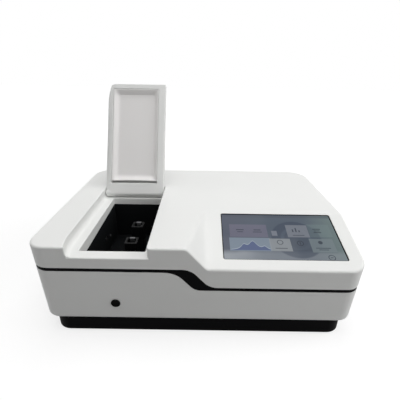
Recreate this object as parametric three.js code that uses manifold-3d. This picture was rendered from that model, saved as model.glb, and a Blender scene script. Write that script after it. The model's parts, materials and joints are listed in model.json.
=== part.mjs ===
// Double-beam bench spectrophotometer with its sample lid open, as an assembly of separate pieces.
// Millimetres. +X is to the right, +Y to the back, +Z up; the bench is at z = 0.
import * as THREE from 'three';
import { mergeVertices } from 'three/addons/utils/BufferGeometryUtils.js';
import Module from 'manifold-3d';

// Casing: its width and depth are worked out below from what stands side by side in it
const sideStrip = 49.8;
const deckWidth = 53.5;
const rearDeck = 125.6;
const topLevel = 155;
const footHeight = 2;
const plinthHeight = 25.5;
const wall = 3;
const draftAngle = 2.5;
const frontCornerRadius = 28;
const backCornerRadius = 38;
const sideEdgeRadius = 4;
const frontEdgeRadius = 3;
const lowerEdgeRadius = 6;

// Gaps: between pieces that touch, round a turning piece, and how far a cut runs past what it cuts
const fit = 0.3;
const runningGap = 0.4;
const overrun = 8;

// Trim band and the stepped joint that it fills
const trimHighLevel = 115.3;
const trimLowLevel = 84.2;
const trimHeight = 5.8;
const trimInset = 0.4;
const stepSetBack = 15.4;
const stepShift = 21;
const stepAngle = 49;
const lowerStepTopRadius = 35;
const lowerStepFootRadius = 20;
const upperStepRadius = 26;
const lipWall = 2;
const lipRise = 4;
const lipRoot = 8;

// Screen slope, and the corner facet between it and the high deck
const slopeAngle = 16.2;
const slopeFrontLevel = 121.4;
const facetFootRun = 28.5;
const facetBackRun = 24;

// Screen
const screenWidth = 180;
const screenLength = 97;
const screenLeftMargin = 27.8;
const screenRightMargin = 23.5;
const screenFrontMargin = 67;
const screenCornerRadius = 3;
const glassDepth = 1.2;
const glassThickness = 2.5;
const displayThickness = 6;
const bracketBorder = 8;
const bracketFloor = 2.4;

// Lid bay, well opening and skirt
const bayWidth = 116;
const bayLevel = 138.4;
const bayFillet = 7;
const baySharpFillet = 1;
const baySqueeze = 6;
const baySqueezeLength = 36;
const bayCornerRadius = 5.5;
const leftLedge = 17.5;
const rightLedge = 5;
const sillDepth = 19;
const wellLength = 188.6;
const backLedge = 8.8;
const skirtWall = 2.5;
const skirtFrontDrop = 18;
const skirtBackDrop = 12.4;

// Lid and hinge
const barrelRadius = 7.2;
const barrelEndRadius = 4;
const lidOpenAngle = 115.7;
const lidGap = 1;
const lidHeel = 0.5;
const lidCrown = 3;
const lidRimLeft = 12;
const lidRimRight = 14.5;
const lidRimFront = 10;
const linerDish = 6;
const linerWall = 2;
const linerSlot = 4;
const linerHeel = 18.5;
const pinRadius = 2;
const pinReach = 9;

// Sample well and its cell holders
const beamLevel = 88;
const beamSpacing = 55;
const beamShift = -2.8;
const wellWall = 2.5;
const wellFloor = 3;
const holderSetBack = 34.1;
const holderSize = 20;
const holderTop = 118;
const socketSize = 12.8;
const socketDepth = 46;
const beamHoleRadius = 4;
const windowRadius = 6;
const detectorReach = 2;
const springWidth = 8;
const springThickness = 0.6;
const springLength = 26;
const springHook = 3;

// Front port and its plug
const portSetOver = 8;
const portLevel = 59.2;
const portRadius = 5.4;
const plugHeadRadius = 6.8;
const plugHeadThickness = 1.6;
const plugStemLength = 9;

// Base pan, feet and base screws
const panWall = 2.5;
const panFloor = 2.5;
const panSetBackX = 9.8;
const panSetBackY = 4;
const panCornerRadius = 24;
const caseFloor = 3;
const caseFloorRim = 26;
const footRadius = 9;
const footInsetX = 57.3;
const footInsetY = 45;
const screwInsetX = 33.3;
const screwInsetY = 45;
const screwRadius = 1.5;
const screwHeadRadius = 3.2;
const screwHeadHeight = 1.4;
const screwLength = 16;
const bossRadius = 5;

// Optical bench
const benchLevel = 45;
const benchThickness = 8;
const benchSetBackX = 36.3;
const benchSetBackY = 28;
const benchPostRadius = 6;
const benchPostInset = 14;

// Light source
const lampHouseWidth = 112;
const lampHouseDepth = 74;
const lampHouseHeight = 66;
const lampHouseWall = 2;
const lampPort = 22;
const ventInset = 6;
const ventDrop = 4;
const ventHeight = 4;
const deuteriumRadius = 13;
const deuteriumHeight = 46;
const tungstenRadius = 5.5;
const tungstenHeight = 34;
const lampBaseRadius = 9;
const lampBaseHeight = 10;
const lampShare = 0.12;

// Beam path
const entrySetOver = 5;
const sourceMirrorRun = 39.5;
const filterRun = 42;
const entrySlitRun = 14;
const mirrorSetBackX = 21;
const collimatorSetBackY = 55;
const focuserSetBackY = 81;
const collimatorAngle = 14;
const focuserAngle = -11;
const gratingRun = 118;
const gratingAngle = 75;
const splitterRun = 34.5;
const exitSlitRun = 64;
const splitterAngle = 135;
const foldAngle = -45;

// Optics
const mirrorRadius = 19;
const mirrorThickness = 8;
const mirrorHollow = 1.2;
const mountThickness = 5;
const mountFoot = 14;
const plateWidth = 26;
const plateHeight = 50;
const plateThickness = 3;
const opticThickness = 2;
const opticSize = 20;
const slitWidth = 1.2;
const slitHeight = 9;
const gratingSize = 25;
const gratingThickness = 6;
const filterWheelRadius = 24;
const filterWheelThickness = 3;
const filterRing = 15;
const filterHoleRadius = 4.5;
const filterHoles = 6;
const filterMotorSize = 18;
const filterMotorLength = 15;
const filterShaftRadius = 1.5;
const sourceMirrorHeight = 24;
const sourceShaftRadius = 2.5;
const sourceAngle = 10;

// Grating drive
const toothModule = 1;
const pinionTeeth = 12;
const sectorTeeth = 72;
const sectorToothCount = 15;
const gearThickness = 5;
const gearBacklash = 0.5;
const addendumShare = 0.85;
const dedendumShare = 1.15;
const gearLift = 3;
const tableHubRadius = 9;
const tableHubHeight = 9;
const tablePivotRadius = 3;
const stepperSize = 28;
const stepperLength = 28;
const stepperShaftRadius = 2;

// Detectors
const detectorSetBack = 18;
const detectorBoardLength = 100;
const detectorBoardHeight = 56;
const boardThickness = 1.6;
const detectorRadius = 4.6;

// Main board and power supply, under the bench
const boardStandoff = 5;
const mainBoardSetBack = 26;
const mainBoardGap = 50;
const mainBoardDepth = 120;
const mainBoardSetBackY = 23;
const chipSize = 14;
const chipHeight = 3;
const supplyWidth = 110;
const supplyDepth = 90;
const supplyHeight = 24;
const supplySetBackX = 26;
const supplySetBackY = 10;
const standoffRadius = 3.5;

// Rear panel and what it carries
const rearPanelSetBack = 9.3;
const rearPanelLevel = 74;
const rearPanelBorder = 10;
const rearPanelRim = 4;
const rearPanelThickness = 1.5;
const rearPanelInset = 1.2;
const fanSize = 60;
const fanDepth = 14;
const fanWall = 2.5;
const fanTipGap = 1.5;
const fanHubRadius = 11;
const fanBlades = 7;
const fanBladeThickness = 1.2;
const fanBladeAngle = 38;
const fanAxleRadius = 2;
const grilleRings = 3;
const grilleSlot = 4;
const grilleRib = 2.4;
const inletGap = 12;
const inletDrop = 16;
const inletWidth = 30;
const inletHeight = 24;
const inletDepth = 16;
const inletFlange = 3;
const inletFlangeThickness = 2;
const inletSocketWidth = 24;
const inletSocketHeight = 19;
const inletSocketDepth = 14;
const inletPinWidth = 2;
const inletPinHeight = 4;
const inletPinPitch = 7;
const inletPinRise = 4;
const inletPinShort = 3;
const switchGap = 8;
const switchWidth = 18;
const switchHeight = 26;
const switchDepth = 16;
const switchRim = 2;
const rockerAngle = 14;
const rockerCrown = 1.5;
const portRise = 20;
const serialWidth = 30;
const serialHeight = 12;
const serialDepth = 9;
const serialProud = 3;
const serialWall = 1.2;
const usbWidth = 12;
const usbHeight = 11;
const usbDepth = 14;
const usbWall = 1.5;
const usbProud = 1;

// Levels and places worked out from the sizes above
const draft = THREE.MathUtils.degToRad(draftAngle);
const slope = THREE.MathUtils.degToRad(slopeAngle);
const slopeWidth = facetBackRun + screenLeftMargin + screenWidth + screenRightMargin;
const caseWidth = sideStrip + bayWidth + deckWidth + slopeWidth;
const caseDepth = sillDepth + wellLength + backLedge + rearDeck;
const shellBottom = footHeight + plinthHeight;
const panTop = footHeight + panFloor;
const drawIn = (level) => (topLevel - level) * Math.tan(draft);
const frontAt = (level) => -caseDepth / 2 + drawIn(level);
const backAt = (level) => caseDepth / 2 - drawIn(level);

const bayLeft = -caseWidth / 2 + sideStrip;
const bayRight = bayLeft + bayWidth;
const bayX = (bayLeft + bayRight) / 2;
const wellLeft = bayLeft + leftLedge;
const wellRight = bayRight - rightLedge;
const wellFront = -caseDepth / 2 + sillDepth;
const wellBack = wellFront + wellLength;
const hingeY = wellBack + backLedge;
const hingeLevel = (topLevel + bayLevel + fit) / 2;
const lidHalfThickness = topLevel - hingeLevel;
const lean = THREE.MathUtils.degToRad(lidOpenAngle) - Math.PI / 2;
const lidBehindHinge = lidHalfThickness * (1 / Math.cos(lean) + Math.tan(lean));
const bayBack = hingeY + lidBehindHinge + 3 * lidGap;

const facetTopX = bayRight + deckWidth;
const facetFootX = facetTopX + facetFootRun;
const facetBackX = facetTopX + facetBackRun;
const stepX = facetTopX - stepSetBack;
const screenX = facetBackX + screenLeftMargin + screenWidth / 2;
const screenY = -caseDepth / 2 + screenFrontMargin;
const creaseY = frontAt(slopeFrontLevel) + (topLevel - slopeFrontLevel) / Math.tan(slope);
const slopeLevelAt = (y) => topLevel - (creaseY - y) * Math.tan(slope);

const benchTop = benchLevel + benchThickness;
const wellFloorTop = benchTop + fit + wellFloor;
const [benchLeft, benchRight] = [-caseWidth / 2 + benchSetBackX, caseWidth / 2 - benchSetBackX];
const [benchFront, benchBack] = [-caseDepth / 2 + benchSetBackY, caseDepth / 2 - benchSetBackY];
const beamRearY = (wellFront + wellBack + beamSpacing) / 2 + beamShift;
const beamFrontY = beamRearY - beamSpacing;
const holderX = wellRight - holderSetBack;
const portX = bayX + portSetOver;

const lampHouseX = bayX;
const lampHouseY = benchBack - fit - lampHouseDepth / 2;
const entryY = lampHouseY - entrySetOver;
const sourceMirrorX = lampHouseX + lampHouseWidth / 2 + sourceMirrorRun;
const filterX = sourceMirrorX + filterRun;
const mirrorX = benchRight - mirrorSetBackX;
const collimatorY = benchBack - collimatorSetBackY;
const focuserY = benchFront + focuserSetBackY;
const gratingX = mirrorX - gratingRun;
const gratingY = (collimatorY + focuserY) / 2;
const splitterX = wellRight + splitterRun;
const exitSlitX = splitterX + exitSlitRun;
const detectorBoardX = wellLeft - detectorSetBack;

const supplyX = benchRight - supplySetBackX - supplyWidth / 2;
const supplyY = benchBack - supplySetBackY - supplyDepth / 2;
const mainBoardLeft = benchLeft + mainBoardSetBack;
const mainBoardWidth = supplyX - supplyWidth / 2 - mainBoardGap - mainBoardLeft;
const mainBoardX = mainBoardLeft + mainBoardWidth / 2;
const mainBoardY = benchBack - mainBoardSetBackY - mainBoardDepth / 2;

const rearPanelLeft = -caseWidth / 2 + backCornerRadius + rearPanelSetBack;
const fanX = rearPanelLeft + rearPanelBorder + fanSize / 2;
const inletX = fanX + fanSize / 2 + inletGap + inletWidth / 2;
const switchX = inletX + inletWidth / 2 + switchGap + switchWidth / 2;
const rearPanelWidth = switchX + switchWidth / 2 + rearPanelBorder - rearPanelLeft;
const rearPanelX = rearPanelLeft + rearPanelWidth / 2;
const rearPanelHeight = fanSize + 2 * rearPanelRim;
const fanBoreRadius = fanSize / 2 - fanWall;
const fanRotorRadius = fanBoreRadius - fanTipGap;

const wasm = await Module();
wasm.setup();
const model = new THREE.Group();

// A closed mesh made a solid for joining and cutting
function solid(geometry) {
  const bare = geometry.clone();
  bare.deleteAttribute('normal');
  bare.deleteAttribute('uv');
  const merged = mergeVertices(bare);
  const corner = merged.index.array;
  const kept = [];
  for (let i = 0; i < corner.length; i += 3) {
    const [a, b, c] = [corner[i], corner[i + 1], corner[i + 2]];
    if (a !== b && b !== c && c !== a) kept.push(a, b, c);
  }
  const vertProperties = new Float32Array(merged.attributes.position.array);
  const mesh = new wasm.Mesh({ numProp: 3, vertProperties, triVerts: new Uint32Array(kept) });
  return new wasm.Manifold(mesh);
}

function toGeometry(body) {
  const mesh = body.getMesh();
  const geometry = new THREE.BufferGeometry();
  geometry.setAttribute('position', new THREE.BufferAttribute(new Float32Array(mesh.vertProperties), 3));
  geometry.setIndex(new THREE.BufferAttribute(new Uint32Array(mesh.triVerts), 1));
  geometry.computeVertexNormals();
  return geometry;
}

function piece(name, body, material, parent = model) {
  const geometry = body instanceof THREE.BufferGeometry ? body : toGeometry(body);
  const mesh = new THREE.Mesh(geometry, material());
  mesh.name = name;
  parent.add(mesh);
  return mesh;
}

function joined(...bodies) {
  return bodies.reduce((sum, body) => sum.add(body));
}

// Prisms: an outline raised along Z, or an outline of x and z (or y and z) drawn along Y (or X)
function prism(shape, low, high, curveSegments = 8) {
  const settings = { depth: high - low, bevelEnabled: false, curveSegments };
  return new THREE.ExtrudeGeometry(shape, settings).translate(0, 0, low);
}

function prismY(shape, front, back, curveSegments = 8) {
  return prism(shape, 0, back - front, curveSegments).rotateX(Math.PI / 2).translate(0, back, 0);
}

function prismX(shape, left, right, curveSegments = 8) {
  const turned = prism(shape, 0, right - left, curveSegments).rotateX(Math.PI / 2);
  return turned.rotateZ(Math.PI / 2).translate(left, 0, 0);
}

function boxGeometry(left, right, front, back, low, high) {
  const box = new THREE.BoxGeometry(right - left, back - front, high - low);
  return box.translate((left + right) / 2, (front + back) / 2, (low + high) / 2);
}

function block(left, right, front, back, low, high) {
  return solid(boxGeometry(left, right, front, back, low, high));
}

function post(radius, x, y, low, high, sides = 16) {
  const rod = new THREE.CylinderGeometry(radius, radius, high - low, sides);
  return solid(rod.rotateX(Math.PI / 2).translate(x, y, (low + high) / 2));
}

function rodX(radius, left, right, y, z, sides = 16) {
  const rod = new THREE.CylinderGeometry(radius, radius, right - left, sides);
  return solid(rod.rotateZ(Math.PI / 2).translate((left + right) / 2, y, z));
}

function rodY(radius, x, front, back, z, sides = 16) {
  const rod = new THREE.CylinderGeometry(radius, radius, back - front, sides);
  return solid(rod.translate(x, (front + back) / 2, z));
}

function outline(...points) {
  return new THREE.Shape(points.map(([u, v]) => new THREE.Vector2(u, v)));
}

// A rectangle with rounded corners; the two front and the two back corners have their own radius
function roundedRectangle(left, right, front, back, frontRadius, backRadius = frontRadius) {
  const quarter = Math.PI / 2;
  const shape = new THREE.Shape();
  shape.absarc(left + frontRadius, front + frontRadius, frontRadius, 2 * quarter, 3 * quarter);
  shape.absarc(right - frontRadius, front + frontRadius, frontRadius, 3 * quarter, 4 * quarter);
  shape.absarc(right - backRadius, back - backRadius, backRadius, 0, quarter);
  shape.absarc(left + backRadius, back - backRadius, backRadius, quarter, 2 * quarter);
  shape.closePath();
  return shape;
}

// Everything on the far side of a plane, along its normal
function halfSpace(point, normal) {
  const size = 2 * caseWidth;
  const turn = new THREE.Quaternion().setFromUnitVectors(new THREE.Vector3(0, 0, 1), normal);
  const box = new THREE.BoxGeometry(size, size, size).translate(0, 0, size / 2);
  return solid(box.applyQuaternion(turn).translate(point.x, point.y, point.z));
}

// Materials
function plastic(color, roughness = 0.5) {
  return () => new THREE.MeshStandardMaterial({ color, roughness, metalness: 0 });
}

function metal(color, roughness = 0.4) {
  return () => new THREE.MeshStandardMaterial({ color, roughness, metalness: 1 });
}

const whitePlastic = plastic(0xe9e9e6);
const linerPlastic = plastic(0xdcdad6);
const trimPlastic = plastic(0x121315);
const plinthPlastic = plastic(0x0e0f11);
const wellBlack = plastic(0x08090a, 0.6);
const rubber = plastic(0x141414, 0.9);
const screenGlass = plastic(0x5d6b80, 0.15);
const boardGreen = plastic(0x1f6a43);
const lampGlass = plastic(0xdfe7ea, 0.05);
const quartz = plastic(0xd5e2e8, 0.05);
const filterGlass = plastic(0x8a5a2a, 0.2);
const anodised = metal(0x17181a, 0.45);
const aluminium = metal(0xb9bcc0, 0.4);
const steel = metal(0xa8abad, 0.3);
const mirrorCoat = metal(0xe6e9ec, 0.05);
const zincSteel = metal(0x9fa3a6, 0.5);

// The casing's outer form, or the same form drawn in evenly by an inset: four drafted walls, rounded
// in plan, with rolled top side edges
function tapered(geometry, halfWidth, halfDepth) {
  const place = geometry.attributes.position;
  for (let i = 0; i < place.count; i += 1) {
    const shift = drawIn(place.getZ(i));
    place.setX(i, place.getX(i) * (1 - shift / halfWidth));
    place.setY(i, place.getY(i) * (1 - shift / halfDepth));
  }
  return geometry;
}

function caseForm(inset, low, high = topLevel - inset, edge = 0) {
  const [w, d] = [caseWidth / 2 - inset, caseDepth / 2 - inset];
  const plan = roundedRectangle(-w, w, -d, d, frontCornerRadius - inset, backCornerRadius - inset);
  const settings = { depth: high - low - 2 * edge, curveSegments: 6, bevelEnabled: edge > 0 };
  Object.assign(settings, { bevelThickness: edge, bevelSize: edge, bevelOffset: -edge, bevelSegments: 2 });
  const raised = new THREE.ExtrudeGeometry(plan, settings).translate(0, 0, low + edge);
  return solid(tapered(raised, w, d));
}

function rolledSides(inset) {
  const [w, r] = [caseWidth / 2 - inset, sideEdgeRadius - inset];
  const [high, low] = [topLevel - inset, shellBottom - overrun];
  const shape = new THREE.Shape();
  shape.moveTo(-w, low).lineTo(w, low);
  shape.absarc(w - r, high - r, r, 0, Math.PI / 2);
  shape.absarc(-w + r, high - r, r, Math.PI / 2, Math.PI);
  shape.closePath();
  return solid(prismY(shape, -caseDepth, caseDepth, 4));
}

// What the screen slope takes off the high deck: above the slope and right of the corner facet
function slopeCut(inset) {
  const up = new THREE.Vector3(0, -Math.sin(slope), Math.cos(slope));
  const onSlope = new THREE.Vector3(0, creaseY, topLevel).addScaledVector(up, -inset);
  const top = new THREE.Vector3(facetTopX, frontAt(topLevel), topLevel);
  const foot = new THREE.Vector3(facetFootX, frontAt(slopeFrontLevel), slopeFrontLevel);
  const back = new THREE.Vector3(facetBackX, creaseY, topLevel);
  const normal = new THREE.Vector3().crossVectors(foot.clone().sub(top), back.clone().sub(top)).normalize();
  if (normal.x < 0) normal.negate();
  return halfSpace(onSlope, up).intersect(halfSpace(top.addScaledVector(normal, -inset), normal));
}

// The lid bay's plan, which narrows a little at the left front, and the lid's plan inside it
function bayPlan(gap, front, back, cornerRadius = 0) {
  const [left, right, r] = [bayLeft + gap, bayRight - gap, cornerRadius];
  const bend = -caseDepth / 2 + baySqueezeLength;
  const shape = new THREE.Shape();
  shape.moveTo(left + baySqueeze, front).lineTo(right + r, front);
  if (r > 0) shape.absarc(right + r, -caseDepth / 2 + r, r, 1.5 * Math.PI, Math.PI, true);
  shape.lineTo(right, back).lineTo(left, back).lineTo(left, bend);
  shape.quadraticCurveTo(left, (bend - caseDepth / 2) / 2, left + baySqueeze, -caseDepth / 2);
  shape.closePath();
  return shape;
}

// The bay's cross-section, well rounded where its left wall meets the ledge
function bayProfile(gap, low, high) {
  const [left, right, r, s] = [bayLeft + gap, bayRight - gap, bayFillet, baySharpFillet];
  const shape = new THREE.Shape();
  shape.moveTo(left, high).lineTo(left, low + r);
  shape.absarc(left + r, low + r, r, Math.PI, 1.5 * Math.PI);
  shape.absarc(right - s, low + s, s, 1.5 * Math.PI, 2 * Math.PI);
  shape.lineTo(right, high).closePath();
  return shape;
}

function bayCut(inset) {
  const plan = bayPlan(-inset, -caseDepth / 2 - overrun, bayBack + inset, bayCornerRadius - inset);
  const tall = solid(prism(plan, bayLevel - overrun, topLevel + overrun, 6));
  const profile = bayProfile(-inset, bayLevel - inset, topLevel + overrun);
  const wide = block(bayX, bayRight + overrun, -caseDepth / 2 - overrun, -caseDepth / 2 + overrun,
    bayLevel - inset, topLevel + overrun);
  return tall.intersect(solid(prismY(profile, -caseDepth / 2 - overrun, bayBack + inset, 4)).add(wide));
}

// The stepped joint between the two shells, seen from the front: below it, level at the left, down a
// rounded step, and level again at the right
function belowStep(shiftX, rise, topRadius, footRadiusOfStep) {
  const [high, low] = [trimHighLevel + rise, trimLowLevel + rise];
  const angle = THREE.MathUtils.degToRad(stepAngle);
  const startX = stepX + shiftX;
  const endX = startX + (high - low) / Math.tan(angle);
  const topRun = topRadius * Math.tan(angle / 2);
  const footRun = footRadiusOfStep * Math.tan(angle / 2);
  const quarter = Math.PI / 2;
  const shape = new THREE.Shape();
  shape.moveTo(-caseWidth, -overrun).lineTo(-caseWidth, high);
  shape.absarc(startX - topRun, high - topRadius, topRadius, quarter, quarter - angle, true);
  shape.absarc(endX + footRun, low + footRadiusOfStep, footRadiusOfStep, 3 * quarter - angle, 3 * quarter);
  shape.lineTo(caseWidth, low).lineTo(caseWidth, -overrun).closePath();
  return solid(prismY(shape, -caseDepth, caseDepth, 6));
}

const belowLower = (rise) => belowStep(0, rise, lowerStepTopRadius, lowerStepFootRadius);
const belowUpper = (rise) => belowStep(stepShift, trimHeight + rise, upperStepRadius, upperStepRadius);

// The skirt's lower edge is cut off along a line that climbs towards the back
function belowSkirtLine(drop) {
  const [front, back] = [wellFront - overrun, wellBack + overrun];
  const climb = (skirtFrontDrop - skirtBackDrop) / wellLength;
  const lineAt = (y) => bayLevel - skirtFrontDrop - drop + (y - wellFront) * climb;
  const shape = outline([front, -overrun], [back, -overrun], [back, lineAt(back)], [front, lineAt(front)]);
  return solid(prismX(shape, wellLeft - 2 * overrun, wellRight + 2 * overrun));
}

function wellTube(gap, low, high) {
  return block(wellLeft - gap, wellRight + gap, wellFront - gap, wellBack + gap, low, high);
}

// Upper shell
function topCover() {
  const inside = caseForm(wall, 0).intersect(rolledSides(wall));
  const hollow = inside.subtract(slopeCut(wall)).subtract(bayCut(wall));
  const skirt = wellTube(skirtWall, shellBottom, bayLevel).subtract(belowSkirtLine(0));
  let cover = caseForm(0, shellBottom, topLevel, frontEdgeRadius).intersect(rolledSides(0));
  cover = cover.subtract(slopeCut(0)).subtract(bayCut(0)).subtract(hollow);
  cover = cover.subtract(belowUpper(0)).add(skirt);
  cover = cover.subtract(wellTube(0, 0, topLevel));
  const pins = rodX(pinRadius + fit, bayLeft - overrun, bayRight + overrun, hingeY, hingeLevel);
  return cover.subtract(pins).subtract(screenPrism(0, -overrun, overrun));
}

// A block in the screen's own frame, sized by a border round the window, moved onto the slope
function onScreen(geometry) {
  return geometry.rotateX(slope).translate(screenX, screenY, slopeLevelAt(screenY));
}

function screenPrism(border, low, high) {
  const [w, d] = [screenWidth / 2 + border, screenLength / 2 + border];
  const radius = Math.max(screenCornerRadius + border, screenCornerRadius / 2);
  return solid(onScreen(prism(roundedRectangle(-w, w, -d, d, radius), low, high, 3)));
}

function lowerCase() {
  const outer = caseForm(0, shellBottom, topLevel, lowerEdgeRadius);
  let shell = outer.subtract(caseForm(wall, shellBottom + caseFloor, topLevel)).intersect(belowLower(0));
  const root = caseForm(wall - fit, shellBottom + caseFloor, topLevel)
    .subtract(caseForm(wall + fit + lipWall, shellBottom, topLevel));
  shell = shell.add(root.intersect(belowLower(0)).subtract(belowLower(-lipRoot)));
  const lip = caseForm(wall + fit, shellBottom + caseFloor, topLevel)
    .subtract(caseForm(wall + fit + lipWall, shellBottom, topLevel));
  shell = shell.add(lip.intersect(belowUpper(lipRise)).subtract(belowLower(-lipRoot)));
  const [w, d] = [caseWidth / 2 - wall - caseFloorRim, caseDepth / 2 - wall - caseFloorRim];
  shell = shell.subtract(block(-w, w, -d, d, shellBottom - overrun, shellBottom + caseFloor + fit));
  for (const [x, y] of screwPlaces()) {
    const boss = post(bossRadius, x, y, panTop + fit, shellBottom + caseFloor);
    shell = shell.add(boss).subtract(post(screwRadius + fit, x, y, footHeight, shellBottom));
  }
  shell = shell.subtract(solid(onFrontWall(portHole())));
  return shell.subtract(solid(onRearWall(rearWindow())));
}

function screwPlaces() {
  const [x, y] = [caseWidth / 2 - screwInsetX, caseDepth / 2 - screwInsetY];
  return [[-x, -y], [x, -y], [-x, y], [x, y]];
}

function trimBand() {
  const ring = caseForm(trimInset, shellBottom, topLevel).subtract(caseForm(wall, shellBottom, topLevel));
  return ring.intersect(belowUpper(-fit)).subtract(belowLower(fit));
}

piece('top_cover', topCover(), whitePlastic);
piece('lower_case', lowerCase(), whitePlastic);
piece('trim_band', trimBand(), trimPlastic);

// Base pan with the posts that carry the bench and the boards
function benchPosts() {
  const [left, right] = [benchLeft + benchPostInset, benchRight - benchPostInset];
  const [front, back] = [benchFront + benchPostInset, benchBack - benchPostInset];
  return [[left, front], [right, front], [left, back], [right, back]];
}

function basePan() {
  const shift = drawIn(shellBottom);
  const [w, d] = [caseWidth / 2 - shift - panSetBackX, caseDepth / 2 - shift - panSetBackY];
  const top = shellBottom - fit;
  const outer = prism(roundedRectangle(-w, w, -d, d, panCornerRadius), footHeight, top, 6);
  const [iw, id] = [w - panWall, d - panWall];
  const hollow = roundedRectangle(-iw, iw, -id, id, panCornerRadius - panWall);
  let pan = solid(outer).subtract(solid(prism(hollow, panTop, top + overrun, 6)));
  for (const [x, y] of benchPosts()) {
    pan = pan.add(post(benchPostRadius, x, y, footHeight, benchLevel - fit));
  }
  for (const [x, y] of [...boardPosts(), ...supplyPosts()]) {
    pan = pan.add(post(standoffRadius, x, y, footHeight, panTop + boardStandoff));
  }
  for (const [x, y] of screwPlaces()) {
    pan = pan.subtract(post(screwRadius + fit, x, y, 0, panTop + fit));
  }
  return pan;
}

function boardPosts() {
  const [w, d] = [mainBoardWidth / 2 - 2 * standoffRadius, mainBoardDepth / 2 - 2 * standoffRadius];
  return [[-w, -d], [w, -d], [-w, d], [w, d]].map(([x, y]) => [mainBoardX + x, mainBoardY + y]);
}

function supplyPosts() {
  const [w, d] = [supplyWidth / 2 - 2 * standoffRadius, supplyDepth / 2 - 2 * standoffRadius];
  return [[-w, -d], [w, -d], [-w, d], [w, d]].map(([x, y]) => [supplyX + x, supplyY + y]);
}

piece('base_pan', basePan(), plinthPlastic);

const cornerNames = ['front_left', 'front_right', 'rear_left', 'rear_right'];

function foot() {
  const [r, h] = [footRadius, footHeight - fit];
  const profile = [[0, 0], [r - h / 2, 0], [r, h / 2], [r, h], [0, h]];
  const points = profile.map(([x, y]) => new THREE.Vector2(x, y));
  return new THREE.LatheGeometry(points, 20).rotateX(Math.PI / 2);
}

function baseScrew() {
  const head = post(screwHeadRadius, 0, 0, footHeight - fit - screwHeadHeight, footHeight - fit);
  return head.add(post(screwRadius, 0, 0, footHeight - screwHeadHeight, footHeight + screwLength));
}

cornerNames.forEach((corner, i) => {
  const [sideX, sideY] = [i % 2 ? 1 : -1, i > 1 ? 1 : -1];
  const rest = solid(foot());
  const rubberFoot = piece(`foot_${corner}`, rest, rubber);
  rubberFoot.position.set(sideX * (caseWidth / 2 - footInsetX), sideY * (caseDepth / 2 - footInsetY), 0);
  const screw = piece(`base_screw_${corner}`, baseScrew(), zincSteel);
  screw.position.set(...screwPlaces()[i], 0);
});

// Front port: a round hole in the front wall, and the rubber plug that closes it
function onFrontWall(geometry) {
  return geometry.rotateX(draft).translate(portX, frontAt(portLevel), portLevel);
}

function portHole() {
  return new THREE.CylinderGeometry(portRadius + fit, portRadius + fit, 2 * overrun, 20);
}

function portPlug() {
  const head = rodY(plugHeadRadius, 0, -fit - plugHeadThickness, -fit, 0, 20);
  return head.add(rodY(portRadius, 0, -plugHeadThickness, plugStemLength, 0, 20));
}

const portFrame = new THREE.Group();
portFrame.position.set(portX, frontAt(portLevel), portLevel);
portFrame.rotation.x = draft;
model.add(portFrame);
piece('port_plug', portPlug(), rubber, portFrame);

// Lid, drawn closed about its hinge line and then swung open
const lidFrame = new THREE.Group();
lidFrame.position.set(0, hingeY, hingeLevel);
lidFrame.rotation.x = -THREE.MathUtils.degToRad(lidOpenAngle);
model.add(lidFrame);
const closedLid = (body) => toGeometry(body).translate(0, -hingeY, -hingeLevel);

function lidRecess(border, low, high) {
  const front = -caseDepth / 2 + lidRimFront + border;
  const back = hingeY - linerHeel - border;
  return block(bayLeft + lidRimLeft + border, bayRight - lidRimRight - border, front, back, low, high);
}

function lidShell() {
  const low = bayLevel + fit;
  const heel = hingeY - lidHeel;
  const plan = bayPlan(lidGap, -caseDepth / 2 - overrun, heel);
  const profile = bayProfile(lidGap, low, topLevel + overrun);
  let shell = solid(prism(plan, low, topLevel, 6)).intersect(solid(prismY(profile, -caseDepth, heel, 4)));
  shell = shell.intersect(caseForm(0, shellBottom, topLevel, frontEdgeRadius));
  return shell.subtract(lidRecess(0, low - overrun, topLevel - lidCrown));
}

function lidLiner() {
  const low = bayLevel + fit + fit;
  const floor = low + linerDish;
  const back = hingeY - linerHeel - linerSlot;
  const outer = lidRecess(fit, low, floor + linerWall);
  const dish = lidRecess(fit + linerWall, low - overrun, floor);
  const slot = block(bayLeft, bayRight, back, hingeY, low - overrun, topLevel);
  const bevel = linerDish / 2;
  const mouth = lidRecess(fit + linerWall - bevel / 2, low - overrun, low + bevel / 2);
  return outer.subtract(dish).subtract(mouth).subtract(slot);
}

function linerStuds() {
  const studs = [];
  const [front, back] = [-caseDepth / 2 + 3 * lidRimFront, hingeY - linerHeel - 3 * lidRimFront];
  for (const y of [front, (front + back) / 2, back]) {
    const floor = bayLevel + 2 * fit + linerDish + linerWall;
    studs.push(post(standoffRadius, bayX, y, floor - linerWall / 2, topLevel - lidCrown - fit, 12));
  }
  return studs;
}

function lidBarrel() {
  const [left, right] = [bayLeft + lidGap, bayRight - lidGap];
  const half = (right - left) / 2;
  const [r, e] = [barrelRadius, barrelEndRadius];
  const profile = new THREE.Path().moveTo(0, -half).lineTo(r - e, -half);
  profile.absarc(r - e, -half + e, e, -Math.PI / 2, 0);
  profile.absarc(r - e, half - e, e, 0, Math.PI / 2);
  profile.lineTo(0, half);
  const barrel = new THREE.LatheGeometry(profile.getPoints(3), 24).rotateZ(Math.PI / 2);
  return solid(barrel.translate(bayX, hingeY, hingeLevel));
}

function pinBore(left) {
  return rodX(pinRadius + runningGap, left, left + 2 * pinReach, hingeY, hingeLevel);
}

function wholeLid() {
  const shell = lidShell().add(lidBarrel());
  const [left, right] = [bayLeft + lidGap - pinReach, bayRight - lidGap - pinReach];
  return shell.subtract(pinBore(left)).subtract(pinBore(right));
}

piece('lid_shell', closedLid(wholeLid()), whitePlastic, lidFrame);
piece('lid_liner', closedLid(joined(lidLiner(), ...linerStuds())), linerPlastic, lidFrame);

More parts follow.
